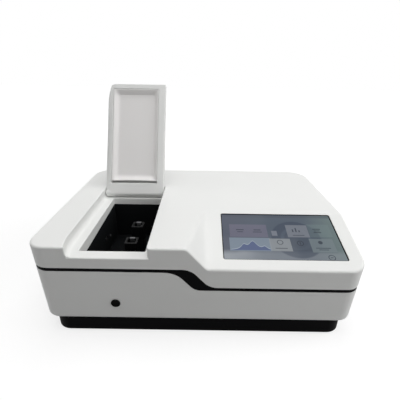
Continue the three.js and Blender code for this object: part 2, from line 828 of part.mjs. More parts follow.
for (const [side, edge, way] of [['left', bayLeft, 1], ['right', bayRight, -1]]) {
  const inner = edge + way * (lidGap + pinReach - 2 * fit);
  const outer = edge - way * (wall + lidGap);
  const pin = rodX(pinRadius, Math.min(inner, outer), Math.max(inner, outer), hingeY, hingeLevel);
  piece(`hinge_pin_${side}`, pin, steel);
}

// Touch screen: glass in the window, display behind it, and the bracket that holds both
piece('screen_glass', screenPrism(-fit, -glassDepth - glassThickness, -glassDepth), screenGlass);

const displayTop = -glassDepth - glassThickness - fit;
const bracketLow = displayTop - displayThickness - fit - bracketFloor;

function displayBracket() {
  const pocket = screenPrism(0, displayTop - displayThickness - fit, overrun);
  const rear = screenPrism(-bracketBorder, -2 * overrun - displayThickness, overrun);
  const inside = caseForm(wall + fit, shellBottom, topLevel - wall - fit);
  const bracket = screenPrism(bracketBorder, bracketLow, -wall - fit).intersect(inside);
  return bracket.subtract(pocket).subtract(rear);
}

piece('display_panel', screenPrism(-fit, displayTop - displayThickness, displayTop), steel);
piece('display_bracket', displayBracket(), zincSteel);

// Sample well: an open black tub below the skirt, with a light window for each beam on both sides
function sampleWell() {
  const rim = bayLevel - skirtBackDrop;
  let tub = wellTube(wellWall, benchTop + fit, rim).subtract(wellTube(0, wellFloorTop, rim + overrun));
  tub = tub.intersect(belowSkirtLine(fit));
  for (const y of [beamFrontY, beamRearY]) {
    tub = tub.subtract(rodX(windowRadius, wellRight - overrun, wellRight + overrun, y, beamLevel));
    tub = tub.subtract(rodX(detectorRadius + fit, wellLeft - overrun, wellLeft + overrun, y, beamLevel));
  }
  return tub;
}

piece('sample_well', sampleWell(), wellBlack);

function wellWindow(left, y) {
  return rodX(windowRadius - fit, left, left + wellWall, y, beamLevel);
}

function cellHolder(y) {
  const [h, s] = [holderSize / 2, socketSize / 2];
  const [x, low] = [holderX, wellFloorTop + fit];
  const body = block(x - h, x + h, y - h, y + h, low, holderTop);
  const socket = block(x - s, x + s, y - s, y + s, holderTop - socketDepth, holderTop + overrun);
  const beam = rodX(beamHoleRadius, x - holderSize, x + holderSize, y, beamLevel, 12);
  return body.subtract(socket).subtract(beam);
}

// A leaf spring hooked over the holder's back rim, bowed into the socket
function holderSpring(y) {
  const [t, back] = [springThickness, y + socketSize / 2 - fit];
  const top = holderTop + fit;
  const bow = 2 * springThickness;
  const leaf = outline(
    [back + springHook, top], [back + springHook, top + t], [back - t, top + t],
    [back - t - bow, top - springLength / 2], [back - t, top - springLength],
    [back, top - springLength], [back - bow, top - springLength / 2], [back, top],
  );
  return solid(prismX(leaf, holderX - springWidth / 2, holderX + springWidth / 2));
}

for (const [place, y] of [['front', beamFrontY], ['rear', beamRearY]]) {
  piece(`cell_holder_${place}`, cellHolder(y), anodised);
  piece(`holder_spring_${place}`, holderSpring(y), steel);
  piece(`beam_window_${place}`, wellWindow(wellRight, y), quartz);
}

function placed(geometry, x, y, turn) {
  return solid(geometry.rotateZ(THREE.MathUtils.degToRad(turn)).translate(x, y, 0));
}

// Involute gear outline, drawn about its own centre; a sector has only some of its teeth
function gearOutline(teeth, drawn, startAngle) {
  const pressure = THREE.MathUtils.degToRad(20);
  const pitch = (toothModule * teeth) / 2;
  const base = pitch * Math.cos(pressure);
  const [tip, root] = [pitch + addendumShare * toothModule, pitch - dedendumShare * toothModule];
  const halfTooth = Math.PI / (2 * teeth) - gearBacklash / (4 * pitch);
  const involute = (angle) => Math.tan(angle) - angle;
  const halfAt = (r) => halfTooth + involute(pressure) - involute(Math.acos(Math.min(1, base / r)));
  const steps = [Math.max(base, root), pitch, (pitch + tip) / 2, tip];
  const points = [];
  const polar = (r, angle) => points.push(new THREE.Vector2(r * Math.cos(angle), r * Math.sin(angle)));
  for (let i = 0; i < drawn; i += 1) {
    const centre = startAngle + (i * 2 * Math.PI) / teeth;
    polar(root, centre - halfAt(steps[0]));
    for (const r of steps) polar(r, centre - halfAt(r));
    for (const r of [...steps].reverse()) polar(r, centre + halfAt(r));
    polar(root, centre + halfAt(steps[0]));
  }
  return points;
}

// Grating turntable: a toothed sector and a hub on the bench's pivot, with the upright that holds the grating
const gearCentres = (toothModule * (pinionTeeth + sectorTeeth)) / 2;
const gearLow = benchTop + gearLift;
const pinionX = gratingX - gearCentres;

function gratingTable() {
  const pitchAngle = (2 * Math.PI) / sectorTeeth;
  const first = Math.PI - ((sectorToothCount - 1) / 2) * pitchAngle;
  const rim = gearOutline(sectorTeeth, sectorToothCount, first);
  const hubEdge = [new THREE.Vector2(0, -tableHubRadius), new THREE.Vector2(0, tableHubRadius)];
  const sector = new THREE.Shape([...rim, ...hubEdge]);
  const plate = solid(prism(sector, gearLow, gearLow + gearThickness));
  const hub = post(tableHubRadius, 0, 0, gearLow, gearLow + tableHubHeight, 20);
  const [w, t, low] = [gratingSize / 2 + wall, mountThickness, gearLow + gearThickness];
  const back = boxGeometry(-w, w, 0, t, low, beamLevel + gratingSize / 2);
  const shelf = boxGeometry(-w, w, -gratingThickness - fit, t, low, beamLevel - gratingSize / 2 - fit);
  const table = joined(plate, hub, placed(back, 0, 0, gratingAngle), placed(shelf, 0, 0, gratingAngle));
  const bore = post(tablePivotRadius + runningGap, 0, 0, benchTop, gearLow + tableHubHeight - wall);
  return table.subtract(bore);
}

function grating() {
  const h = gratingSize / 2;
  const plate = boxGeometry(-h, h, -fit - gratingThickness, -fit, beamLevel - h, beamLevel + h);
  return placed(plate, 0, 0, gratingAngle);
}

const gratingFrame = new THREE.Group();
gratingFrame.position.set(gratingX, gratingY, 0);
model.add(gratingFrame);
piece('grating_table', gratingTable(), aluminium, gratingFrame);
piece('grating', grating(), mirrorCoat, gratingFrame);

function pinion() {
  const gap = Math.PI / pinionTeeth;
  const teeth = new THREE.Shape(gearOutline(pinionTeeth, pinionTeeth, gap));
  const wheel = solid(prism(teeth, gearLow, gearLow + gearThickness));
  const shaftLow = benchLevel - stepperLength / 2;
  return wheel.add(post(stepperShaftRadius, 0, 0, shaftLow, gearLow + gearThickness));
}

const pinionFrame = new THREE.Group();
pinionFrame.position.set(pinionX, gratingY, 0);
model.add(pinionFrame);
piece('grating_pinion', pinion(), steel, pinionFrame);

function stepper(x, y, shaftHole) {
  const [h, top] = [stepperSize / 2, benchLevel - fit];
  const can = prism(roundedRectangle(x - h, x + h, y - h, y + h, h / 4), top - stepperLength, top, 2);
  return solid(can).subtract(post(shaftHole + runningGap, x, y, top - stepperLength / 2, top + fit));
}

piece('grating_motor', stepper(pinionX, gratingY, stepperShaftRadius), anodised);

// Lamp house with its two lamps, and the mirror that swings between them
function lampHouse() {
  const [left, right] = [lampHouseX - lampHouseWidth / 2, lampHouseX + lampHouseWidth / 2];
  const [front, back] = [lampHouseY - lampHouseDepth / 2, lampHouseY + lampHouseDepth / 2];
  const [low, high] = [benchTop + fit, benchTop + fit + lampHouseHeight];
  const t = lampHouseWall;
  let house = block(left, right, front, back, low, high);
  house = house.subtract(block(left + t, right - t, front + t, back - t, low + t, high - t));
  for (const y of lampRows()) {
    house = house.subtract(block(right - 2 * t, right + t, y - lampPort / 2, y + lampPort / 2,
      beamLevel - lampPort / 2, beamLevel + lampPort / 2));
  }
  const [ventLow, ventHigh] = [high - ventDrop - ventHeight, high - ventDrop];
  return house.subtract(block(left + ventInset, right - ventInset, front - t, back + t, ventLow, ventHigh));
}

function lampRows() {
  return [lampHouseY - lampHouseDepth / 4, lampHouseY + lampHouseDepth / 4];
}

function lamp(radius, height, y) {
  const base = benchTop + 2 * fit + lampHouseWall;
  const [b, h] = [lampBaseRadius, lampBaseHeight];
  const neck = radius * (1 - lampShare);
  const profile = [
    [0, 0], [b, 0], [b, h], [neck, h], [radius, h + radius * lampShare],
    [radius, height - radius / 2], [radius / 2, height], [0, height],
  ];
  const points = profile.map(([r, z]) => new THREE.Vector2(r, z));
  return new THREE.LatheGeometry(points, 16).rotateX(Math.PI / 2).translate(lampHouseX, y, base);
}

piece('lamp_house', lampHouse(), zincSteel);
const [tungstenY, deuteriumY] = lampRows();
piece('tungsten_lamp', lamp(tungstenRadius, tungstenHeight + lampBaseHeight, tungstenY), lampGlass);
piece('deuterium_lamp', lamp(deuteriumRadius, deuteriumHeight + lampBaseHeight, deuteriumY), lampGlass);

function sourceArm() {
  const w = opticSize / 2;
  const low = benchTop + gearLift;
  const shaft = post(sourceShaftRadius, 0, 0, benchLevel - stepperLength / 2, low + wall);
  const top = beamLevel + sourceMirrorHeight / 2;
  const shelf = block(-w, w, -opticThickness - fit, wall, low, low + wall);
  return shaft.add(block(-w, w, 0, wall, low, top)).add(shelf);
}

function sourceMirror() {
  const w = opticSize / 2;
  const low = benchTop + gearLift + wall + fit;
  return block(-w, w, -fit - opticThickness, -fit, low, beamLevel + sourceMirrorHeight / 2);
}

const sourceFrame = new THREE.Group();
sourceFrame.position.set(sourceMirrorX, entryY, 0);
sourceFrame.rotation.z = THREE.MathUtils.degToRad(sourceAngle);
model.add(sourceFrame);
piece('source_mirror_arm', sourceArm(), aluminium, sourceFrame);
piece('source_mirror', sourceMirror(), mirrorCoat, sourceFrame);
piece('source_mirror_motor', stepper(sourceMirrorX, entryY, sourceShaftRadius), anodised);

// Filter wheel on its motor, with the beam passing through the lowest filter
const wheelLevel = beamLevel + filterRing;
const motorLeft = filterX + filterWheelThickness + fit + runningGap;
const bracketLeft = motorLeft + filterMotorLength + fit;

function filterWheel() {
  let wheel = rodX(filterWheelRadius, filterX, filterX + filterWheelThickness, entryY, wheelLevel, 28);
  for (let i = 0; i < filterHoles; i += 1) {
    const angle = (i * 2 * Math.PI) / filterHoles - Math.PI / 2;
    const [y, z] = [entryY + filterRing * Math.cos(angle), wheelLevel + filterRing * Math.sin(angle)];
    const hole = rodX(filterHoleRadius, filterX - overrun, filterX + overrun, y, z, 12);
    wheel = i % 2 ? wheel : wheel.subtract(hole);
  }
  const shaft = rodX(filterShaftRadius, filterX, motorLeft + filterMotorLength / 2, entryY, wheelLevel, 12);
  return wheel.add(shaft);
}

function filterMotor() {
  const h = filterMotorSize / 2;
  const motorRight = motorLeft + filterMotorLength;
  const can = block(motorLeft, motorRight, entryY - h, entryY + h, wheelLevel - h, wheelLevel + h);
  const bore = filterShaftRadius + runningGap;
  const boreEnd = (motorLeft + motorRight) / 2 + fit;
  return can.subtract(rodX(bore, motorLeft - fit, boreEnd, entryY, wheelLevel, 12));
}

piece('filter_wheel', filterWheel(), anodised);
piece('filter_motor', filterMotor(), steel);

// Slit plates, each an upright with a foot and a narrow slot at beam height
function slitPlate(x, y) {
  const w = plateWidth / 2;
  const low = benchTop + fit;
  const upright = block(x, x + plateThickness, y - w, y + w, low, low + plateHeight);
  const base = block(x, x + mountFoot, y - w, y + w, low, low + plateThickness);
  const [s, h] = [slitWidth / 2, slitHeight / 2];
  const slit = block(x - fit, x + mountFoot, y - s, y + s, beamLevel - h, beamLevel + h);
  return upright.add(base).subtract(slit);
}

piece('entrance_slit', slitPlate(bracketLeft + plateThickness + entrySlitRun, entryY), anodised);
piece('exit_slit', slitPlate(exitSlitX, beamFrontY), anodised);

// Concave mirrors, each cemented to an upright of the bench
function concaveMirror() {
  const [r, t, hollow] = [mirrorRadius, mirrorThickness, mirrorHollow];
  const curve = [[r, t], [(2 * r) / 3, t - hollow / 2], [r / 3, t - hollow], [0, t - hollow]];
  const profile = [[0, 0], [r, 0], ...curve];
  const points = profile.map(([u, v]) => new THREE.Vector2(u, v));
  return new THREE.LatheGeometry(points, 24).rotateZ(Math.PI / 2).translate(0, 0, beamLevel);
}

const mirrorPlaces = [
  ['collimating', mirrorX, collimatorY, collimatorAngle],
  ['focusing', mirrorX, focuserY, focuserAngle],
];
for (const [use, x, y, turn] of mirrorPlaces) {
  const frame = new THREE.Group();
  frame.position.set(x, y, 0);
  frame.rotation.z = THREE.MathUtils.degToRad(turn);
  model.add(frame);
  piece(`${use}_mirror`, solid(concaveMirror()), mirrorCoat, frame);
}

// Beam splitter and fold mirror, each a small square optic at 45 degrees on an upright of the bench
function squareOptic() {
  const w = opticSize / 2;
  return block(-w, w, -opticThickness, 0, beamLevel - w, beamLevel + w);
}

const opticPlaces = [
  ['beam_splitter', beamFrontY, splitterAngle, quartz],
  ['fold_mirror', beamRearY, foldAngle, mirrorCoat],
];
for (const [name, y, turn, coat] of opticPlaces) {
  const frame = new THREE.Group();
  frame.position.set(splitterX, y, 0);
  frame.rotation.z = THREE.MathUtils.degToRad(turn);
  model.add(frame);
  piece(name, squareOptic(), coat, frame);
}

// Optical bench: a cast plate on the pan's four posts, with the grating's pivot and an upright
// behind each fixed optic
function filterUpright() {
  const w = plateWidth / 2;
  const [left, right] = [bracketLeft, bracketLeft + plateThickness];
  const plate = block(left, right, entryY - w, entryY + w, benchLevel, wheelLevel + filterMotorSize / 2);
  return plate.subtract(rodX(beamHoleRadius, left - fit, right + fit, entryY, beamLevel, 12));
}

function opticalBench() {
  let bench = block(benchLeft, benchRight, benchFront, benchBack, benchLevel, benchTop);
  const pivotTop = gearLow + tableHubHeight - wall - fit;
  bench = bench.add(post(tablePivotRadius, gratingX, gratingY, benchLevel, pivotTop));
  bench = bench.add(post(tableHubRadius, gratingX, gratingY, benchLevel, gearLow - fit));
  bench = bench.add(filterUpright());
  const [r, t] = [mirrorRadius, mountThickness];
  for (const [, x, y, turn] of mirrorPlaces) {
    bench = bench.add(placed(boxGeometry(fit, fit + t, -r, r, benchLevel, beamLevel + r), x, y, turn));
  }
  const w = opticSize / 2;
  for (const [, y, turn] of opticPlaces) {
    const upright = boxGeometry(-w, w, fit, fit + t, benchLevel, beamLevel + w);
    bench = bench.add(placed(upright, splitterX, y, turn));
  }
  const [holeLeft, holeRight] = [splitterX - mountFoot, splitterX + mountFoot];
  bench = bench.subtract(rodX(beamHoleRadius, holeLeft, holeRight, beamFrontY, beamLevel, 12));
  bench = bench.subtract(post(stepperShaftRadius + runningGap, pinionX, gratingY, 0, benchTop + fit));
  return bench.subtract(post(sourceShaftRadius + runningGap, sourceMirrorX, entryY, 0, benchTop + fit));
}

piece('optical_bench', opticalBench(), aluminium);

// Detector board on the bench, left of the well, with one photodiode for each beam
const detectorMiddle = (beamFrontY + beamRearY) / 2;

function detectorBoard() {
  const [x, h] = [detectorBoardX, detectorBoardLength / 2];
  const low = benchTop + fit;
  return block(x, x + boardThickness, detectorMiddle - h, detectorMiddle + h, low, low + detectorBoardHeight);
}

piece('detector_board', detectorBoard(), boardGreen);
for (const [place, y] of [['front', beamFrontY], ['rear', beamRearY]]) {
  const left = detectorBoardX + boardThickness + fit;
  const right = wellLeft - wellWall + detectorReach;
  piece(`detector_${place}`, rodX(detectorRadius, left, right, y, beamLevel), steel);
}

// Main board on its standoffs, and the boxed power supply
function mainBoard() {
  const [w, d, low] = [mainBoardWidth / 2, mainBoardDepth / 2, panTop + boardStandoff + fit];
  const [x, y] = [mainBoardX, mainBoardY];
  let board = block(x - w, x + w, y - d, y + d, low, low + boardThickness);
  for (let i = -1; i <= 1; i += 1) {
    const [cx, c] = [x + i * 2 * chipSize, chipSize / 2];
    const [foot, top] = [low + boardThickness / 2, low + boardThickness + chipHeight];
    const chip = block(cx - c, cx + c, y - c, y + c, foot, top);
    board = board.add(chip);
  }
  return board;
}

function powerSupply() {
  const [w, d, low] = [supplyWidth / 2, supplyDepth / 2, panTop + boardStandoff + fit];
  return block(supplyX - w, supplyX + w, supplyY - d, supplyY + d, low, low + supplyHeight);
}

piece('main_board', mainBoard(), boardGreen);
piece('power_supply', powerSupply(), zincSteel);

// Rear panel, drawn upright in the plane of the rear wall: local y is how far outside the wall
function onRearWall(geometry) {
  return geometry.rotateX(-draft).translate(0, backAt(rearPanelLevel), rearPanelLevel);
}

const rearFrame = new THREE.Group();
rearFrame.position.set(0, backAt(rearPanelLevel), rearPanelLevel);
rearFrame.rotation.x = -draft;
model.add(rearFrame);

function rearPlate(border, front, back) {
  const [w, h] = [rearPanelWidth / 2 + border, rearPanelHeight / 2 + border];
  return boxGeometry(rearPanelX - w, rearPanelX + w, front, back, -h, h);
}

function rearWindow() {
  return rearPlate(fit, -2 * overrun, overrun);
}

const panelOut = -rearPanelInset;
const panelIn = panelOut - rearPanelThickness;

function windowFor(x, z, width, height) {
  const [w, h] = [width / 2 + fit, height / 2 + fit];
  return block(x - w, x + w, panelIn - overrun, panelOut + overrun, z - h, z + h);
}

// Fan grille: rings of slots, left standing between four spokes
function grilleSlots() {
  const rings = [];
  for (let i = 0; i < grilleRings; i += 1) {
    const inner = fanHubRadius + i * (grilleSlot + grilleRib);
    const ring = rodY(inner + grilleSlot, fanX, panelIn - fit, panelOut + fit, 0, 24)
      .subtract(rodY(inner, fanX, panelIn - overrun, panelOut + overrun, 0, 24));
    rings.push(ring);
  }
  const [reach, half] = [fanSize, grilleRib / 2];
  return joined(...rings)
    .subtract(block(fanX - reach, fanX + reach, panelIn - overrun, panelOut + overrun, -half, half))
    .subtract(block(fanX - half, fanX + half, panelIn - overrun, panelOut + overrun, -reach, reach));
}

function rearPanel() {
  return solid(rearPlate(0, panelIn, panelOut))
    .subtract(grilleSlots())
    .subtract(windowFor(inletX, -inletDrop, inletWidth, inletHeight))
    .subtract(windowFor(switchX, -inletDrop, switchWidth, switchHeight))
    .subtract(windowFor(inletX, portRise, serialWidth, serialHeight))
    .subtract(windowFor(switchX, portRise, usbWidth, usbHeight));
}

piece('rear_panel', rearPanel(), zincSteel, rearFrame);

function fanFrame() {
  const [h, back] = [fanSize / 2, panelIn - fit];
  const square = roundedRectangle(fanX - h, fanX + h, -h, h, h / 8);
  let frame = solid(prismY(square, back - fanDepth, back, 2));
  frame = frame.subtract(rodY(fanBoreRadius, fanX, back - fanDepth - fit, back + fit, 0, 28));
  const spoke = grilleRib / 2;
  const floor = back - fanDepth;
  const arms = joined(
    block(fanX - h + spoke, fanX + h - spoke, floor, floor + grilleRib, -spoke, spoke),
    block(fanX - spoke, fanX + spoke, floor, floor + grilleRib, -h + spoke, h - spoke),
    rodY(fanHubRadius, fanX, floor, floor + grilleRib, 0, 20),
    rodY(fanAxleRadius, fanX, floor, back - wall, 0, 12),
  );
  return frame.add(arms);
}

function fanRotor() {
  const back = panelIn - fit;
  const [low, high] = [back - fanDepth + grilleRib + runningGap, back - 2 * runningGap];
  let rotor = rodY(fanHubRadius, fanX, low, high, 0, 20);
  for (let i = 0; i < fanBlades; i += 1) {
    const blade = new THREE.BoxGeometry(fanRotorRadius, high - low - wall, fanBladeThickness);
    blade.rotateX(THREE.MathUtils.degToRad(fanBladeAngle)).translate(fanRotorRadius / 2, 0, 0);
    blade.rotateY((i * 2 * Math.PI) / fanBlades).translate(fanX, (low + high) / 2, 0);
    rotor = rotor.add(solid(blade));
  }
  const rim = rodY(fanRotorRadius, fanX, low, high, 0, 28);
  const bore = rodY(fanAxleRadius + runningGap, fanX, low - fit, back - wall + runningGap, 0, 12);
  return rotor.intersect(rim).subtract(bore);
}

piece('fan_frame', fanFrame(), wellBlack, rearFrame);
piece('fan_rotor', fanRotor(), wellBlack, rearFrame);

// Mains inlet: a flanged body with a socket and three blades
function powerInlet() {
  const [w, h, z] = [inletWidth / 2, inletHeight / 2, -inletDrop];
  const out = panelOut + fit + inletFlangeThickness;
  const body = block(inletX - w, inletX + w, panelIn - inletDepth, out, z - h, z + h);
  const flange = block(inletX - w - inletFlange, inletX + w + inletFlange, panelOut + fit, out,
    z - h - inletFlange, z + h + inletFlange);
  const [sw, sh] = [inletSocketWidth / 2, inletSocketHeight / 2];
  const socket = block(inletX - sw, inletX + sw, out - inletSocketDepth, out + overrun, z - sh, z + sh);
  let inlet = body.add(flange).subtract(socket);
  const [p, rise] = [inletPinPitch, inletPinRise / 2];
  for (const [dx, dz] of [[-p, -rise], [0, rise], [p, -rise]]) {
    const [pw, ph] = [inletPinWidth / 2, inletPinHeight / 2];
    const blade = block(inletX + dx - pw, inletX + dx + pw, panelIn - inletDepth + fit, out - inletPinShort,
      z + dz - ph, z + dz + ph);
    inlet = inlet.add(blade);
  }
  return inlet;
}

piece('power_inlet', powerInlet(), wellBlack, rearFrame);

// Power switch: a rimmed frame, and a rocker that turns about a bar across it
const rockerY = panelOut - switchDepth / 4;
const rockerTurn = THREE.MathUtils.degToRad(rockerAngle / 2);

function switchFrame() {
  const [w, h, z] = [switchWidth / 2, switchHeight / 2, -inletDrop];
  const out = panelOut + fit + switchRim;
  const body = block(switchX - w, switchX + w, panelIn - switchDepth, out, z - h, z + h);
  const rim = block(switchX - w - switchRim, switchX + w + switchRim, panelOut + fit, out,
    z - h - switchRim, z + h + switchRim);
  const [iw, ih] = [w - switchRim, h - switchRim];
  const floor = panelIn - switchDepth + switchRim;
  const hollow = block(switchX - iw, switchX + iw, floor, out + overrun, z - ih, z + ih);
  const bar = rodX(filterShaftRadius, switchX - w + fit, switchX + w - fit, rockerY, z, 12);
  return body.add(rim).subtract(hollow).add(bar);
}

function powerRocker() {
  const [w, h] = [switchWidth / 2 - switchRim - runningGap, switchHeight / 2 - switchRim - 2 * runningGap];
  const edge = h * Math.tan(rockerTurn);
  const crown = switchDepth / 4 + fit + switchRim + rockerCrown;
  const low = -2 * filterShaftRadius;
  const profile = outline([low, -h / 2], [crown, -h], [crown - edge, 0], [crown, h], [low, h / 2]);
  const rocker = solid(prismX(profile, -w, w));
  return rocker.subtract(rodX(filterShaftRadius + runningGap, -switchWidth, switchWidth, 0, 0, 12));
}

piece('switch_frame', switchFrame(), wellBlack, rearFrame);
const rockerFrame = new THREE.Group();
rockerFrame.position.set(switchX, rockerY, -inletDrop);
rockerFrame.rotation.x = rockerTurn;
rearFrame.add(rockerFrame);
piece('power_rocker', powerRocker(), rubber, rockerFrame);

// Data ports: a nine-pole socket in a metal shell, and a square socket
function serialPort() {
  const [w, h, z] = [serialWidth / 2, serialHeight / 2, portRise];
  const out = panelOut + serialProud;
  const narrow = w - serialHeight / 4;
  const foot = [[inletX - narrow, z - h], [inletX + narrow, z - h]];
  const slanted = outline(...foot, [inletX + w, z + h], [inletX - w, z + h]);
  const flange = block(inletX - w - inletFlange, inletX + w + inletFlange, panelOut + fit,
    panelOut + fit + serialWall, z - h - serialWall, z + h + serialWall);
  return solid(prismY(slanted, panelIn - serialDepth, out)).add(flange);
}

function usbPort() {
  const [w, h, z] = [usbWidth / 2, usbHeight / 2, portRise];
  const out = panelOut + usbProud;
  const body = block(switchX - w, switchX + w, panelIn - usbDepth, out, z - h, z + h);
  const [iw, ih] = [w - usbWall, h - usbWall];
  const floor = panelIn - usbDepth + usbWall;
  const hollow = block(switchX - iw, switchX + iw, floor, out + overrun, z - ih, z + ih);
  return body.subtract(hollow);
}

piece('serial_port', serialPort(), zincSteel, rearFrame);
piece('usb_port', usbPort(), steel, rearFrame);

export default model;
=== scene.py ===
"""Double-beam bench spectrophotometer with its sample lid open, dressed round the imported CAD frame.

Everything is in metres in the CAD frame: +X to the operator's right, +Y to the back, +Z up.
"""
import json
import math

import bmesh
import bpy
import numpy as np
from mathutils import Matrix, Vector

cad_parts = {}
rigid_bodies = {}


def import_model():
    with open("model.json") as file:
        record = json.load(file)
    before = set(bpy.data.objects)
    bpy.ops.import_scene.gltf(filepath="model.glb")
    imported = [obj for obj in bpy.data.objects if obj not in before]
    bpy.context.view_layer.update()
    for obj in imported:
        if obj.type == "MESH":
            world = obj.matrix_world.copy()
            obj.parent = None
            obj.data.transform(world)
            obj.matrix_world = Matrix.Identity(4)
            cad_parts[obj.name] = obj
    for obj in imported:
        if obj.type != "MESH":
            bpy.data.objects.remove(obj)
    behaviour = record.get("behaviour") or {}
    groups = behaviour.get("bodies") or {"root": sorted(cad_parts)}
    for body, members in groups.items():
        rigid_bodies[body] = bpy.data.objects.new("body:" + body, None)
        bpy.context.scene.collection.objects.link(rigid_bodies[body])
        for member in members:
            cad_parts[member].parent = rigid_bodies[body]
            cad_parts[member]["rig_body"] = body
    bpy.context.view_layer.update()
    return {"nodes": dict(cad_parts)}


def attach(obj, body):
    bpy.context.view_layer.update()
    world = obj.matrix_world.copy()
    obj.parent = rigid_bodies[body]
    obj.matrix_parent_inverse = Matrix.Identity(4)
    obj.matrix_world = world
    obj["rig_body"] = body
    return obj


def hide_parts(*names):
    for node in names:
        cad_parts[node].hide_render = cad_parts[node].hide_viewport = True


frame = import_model()
scene = bpy.context.scene

# Camera. The photograph was taken from in front of and above the instrument, with a moderately
# wide lens that leans a little to the left.
camera_place = Vector((-0.0005, -0.5154, 0.3752))
camera_pan, camera_dip, camera_roll = math.radians(0.03), math.radians(23.34), math.radians(0.84)
camera_data = bpy.data.cameras.new("camera")
camera_data.sensor_width = 36
camera_data.lens = 27.45
camera = bpy.data.objects.new("camera", camera_data)
scene.collection.objects.link(camera)
camera.matrix_world = (
    Matrix.Translation(camera_place)
    @ Matrix.Rotation(camera_pan, 4, "Z")
    @ Matrix.Rotation(math.pi / 2 - camera_dip, 4, "X")
    @ Matrix.Rotation(camera_roll, 4, "Z")
)
scene.camera = camera
scene.view_settings.view_transform = "Standard"

# Floor and room. A pale table runs out of the picture, and an even white room stands round it.
# Both look white to the camera and in reflections, and light the instrument only a little.
floor_albedo, floor_glow, room_level = 0.34, 0.74, 0.10
floor_reach, fade_distance, fade_blur = 6.0, 0.9, 0.5


class Signal:
    """One output of a shader node. Sums and products of Signals add the Math nodes that work
    them out."""

    def __init__(self, tree, socket):
        self.tree = tree
        self.socket = socket

    def node(self, kind, settings, values, output=0):
        """A node of this kind: its settings are set first, then its sockets' values or links."""
        made = self.tree.nodes.new("ShaderNode" + kind)
        for name, value in settings.items():
            setattr(made, name, value)
        for name, value in values.items():
            if isinstance(value, Signal):
                self.tree.links.new(value.socket, made.inputs[name])
            else:
                made.inputs[name].default_value = value
        return Signal(self.tree, made.outputs[output])

    def into(self, shader, name):
        """Links this signal to a socket of a shader."""
        self.tree.links.new(self.socket, shader.inputs[name])

    def math(self, operation, *values):
        return self.node("Math", {"operation": operation}, dict(enumerate((self, *values))))

    def __add__(self, other):
        return self.math("ADD", other)

    __radd__ = __add__

    def __sub__(self, other):
        return self.math("SUBTRACT", other)

    def __rsub__(self, other):
        return -self + other

    def __mul__(self, other):
        return self.math("MULTIPLY", other)

    __rmul__ = __mul__

    def __neg__(self):
        return self.math("MULTIPLY", -1.0)

    def __abs__(self):
        return self.math("ABSOLUTE")

    def lower(self, other):
        return self.math("MINIMUM", other)

    def higher(self, other):
        return self.math("MAXIMUM", other)

    def under(self, edge, blur):
        """1 where this is under the edge, 0 where it is over it, with a soft step of that blur."""
        ends = {"From Min": edge - blur, "From Max": edge + blur, "To Min": 1.0, "To Max": 0.0}
        return self.node("MapRange", {"interpolation_type": "SMOOTHSTEP"}, {"Value": self, **ends})

    def mix(self, first, second):
        """A colour between two colours, by this signal as the share of the second."""
        return self.node("Mix", {"data_type": "RGBA"}, {0: self, 6: first, 7: second}, output=2)


def new_material(name):
    """An empty Principled material: (material, its place on Object coordinates, its shader)."""
    material = bpy.data.materials.new(name)
    material.use_nodes = True
    tree = material.node_tree
    place = Signal(tree, tree.nodes.new("ShaderNodeTexCoord").outputs["Object"])
    return material, place, tree.nodes["Principled BSDF"]


def seen_rays(tree):
    """1 for rays that show the room itself: from the camera, in a reflection or through glass."""
    path = tree.nodes.new("ShaderNodeLightPath")
    camera_ray, glossy_ray, passing_ray = (
        Signal(tree, path.outputs["Is %s Ray" % kind])
        for kind in ("Camera", "Glossy", "Transmission")
    )
    return camera_ray.higher(glossy_ray).higher(passing_ray)


floor_mesh = bpy.data.meshes.new("floor")
floor_plan = [(-1, -1), (1, -1), (1, 1), (-1, 1)]
floor_mesh.from_pydata(
    [(floor_reach * x, floor_reach * y, 0) for x, y in floor_plan], [], [(0, 1, 2, 3)]
)
floor = bpy.data.objects.new("floor", floor_mesh)
scene.collection.objects.link(floor)
floor_material, floor_place, floor_shader = new_material("floor")
floor_shader.inputs["Base Color"].default_value = (floor_albedo, floor_albedo, floor_albedo, 1)
floor_shader.inputs["Roughness"].default_value = 1.0
floor_shader.inputs["Specular IOR Level"].default_value = 0.0
floor_shader.inputs["Emission Color"].default_value = (1, 1, 1, 1)
floor_distance = floor_place.node(
    "VectorMath", {"operation": "LENGTH"}, {0: floor_place}, output="Value"
)
floor_far = 1.0 - floor_distance.under(fade_distance, fade_blur)
floor_light = seen_rays(floor_material.node_tree) * (floor_glow + (1.0 - floor_glow) * floor_far)
floor_light.into(floor_shader, "Emission Strength")
floor_mesh.materials.append(floor_material)

room = bpy.data.worlds.new("room")
scene.world = room
room.use_nodes = True
background = room.node_tree.nodes["Background"]
background.inputs["Color"].default_value = (1, 1, 1, 1)
room_strength = seen_rays(room.node_tree) * (1.0 - room_level) + room_level
room_strength.into(background, "Strength")

# Lamps. Large soft squares, all turned to the instrument's middle; the ceiling and the right side
# give most of the light, as in the photograph.
lamp_aim = Vector((0, 0, 0.1))
for name, place, size, power in (
    ("ceiling_lamp", (0, 0, 1.7), 1.4, 13.2),
    ("front_high_lamp", (0.3, -1.1, 1.6), 0.9, 3.0),
    ("right_lamp", (1.5, 0, 1.1), 0.9, 10.6),
    ("front_right_lamp", (1.2, -1.2, 1.0), 0.9, 4.2),
    ("left_lamp", (-1.5, 0, 1.1), 0.9, 3.5),
    ("front_lamp", (0, -1.6, 1.2), 0.9, 0.8),
    ("back_lamp", (0, 1.2, 1.5), 1.0, 3.0),
):
    lamp_data = bpy.data.lights.new(name, "AREA")
    lamp_data.shape, lamp_data.size, lamp_data.energy = "SQUARE", size, power
    lamp = bpy.data.objects.new(name, lamp_data)
    lamp.location = place
    lamp.rotation_euler = (lamp_aim - Vector(place)).to_track_quat("-Z", "Y").to_euler()
    scene.collection.objects.link(lamp)

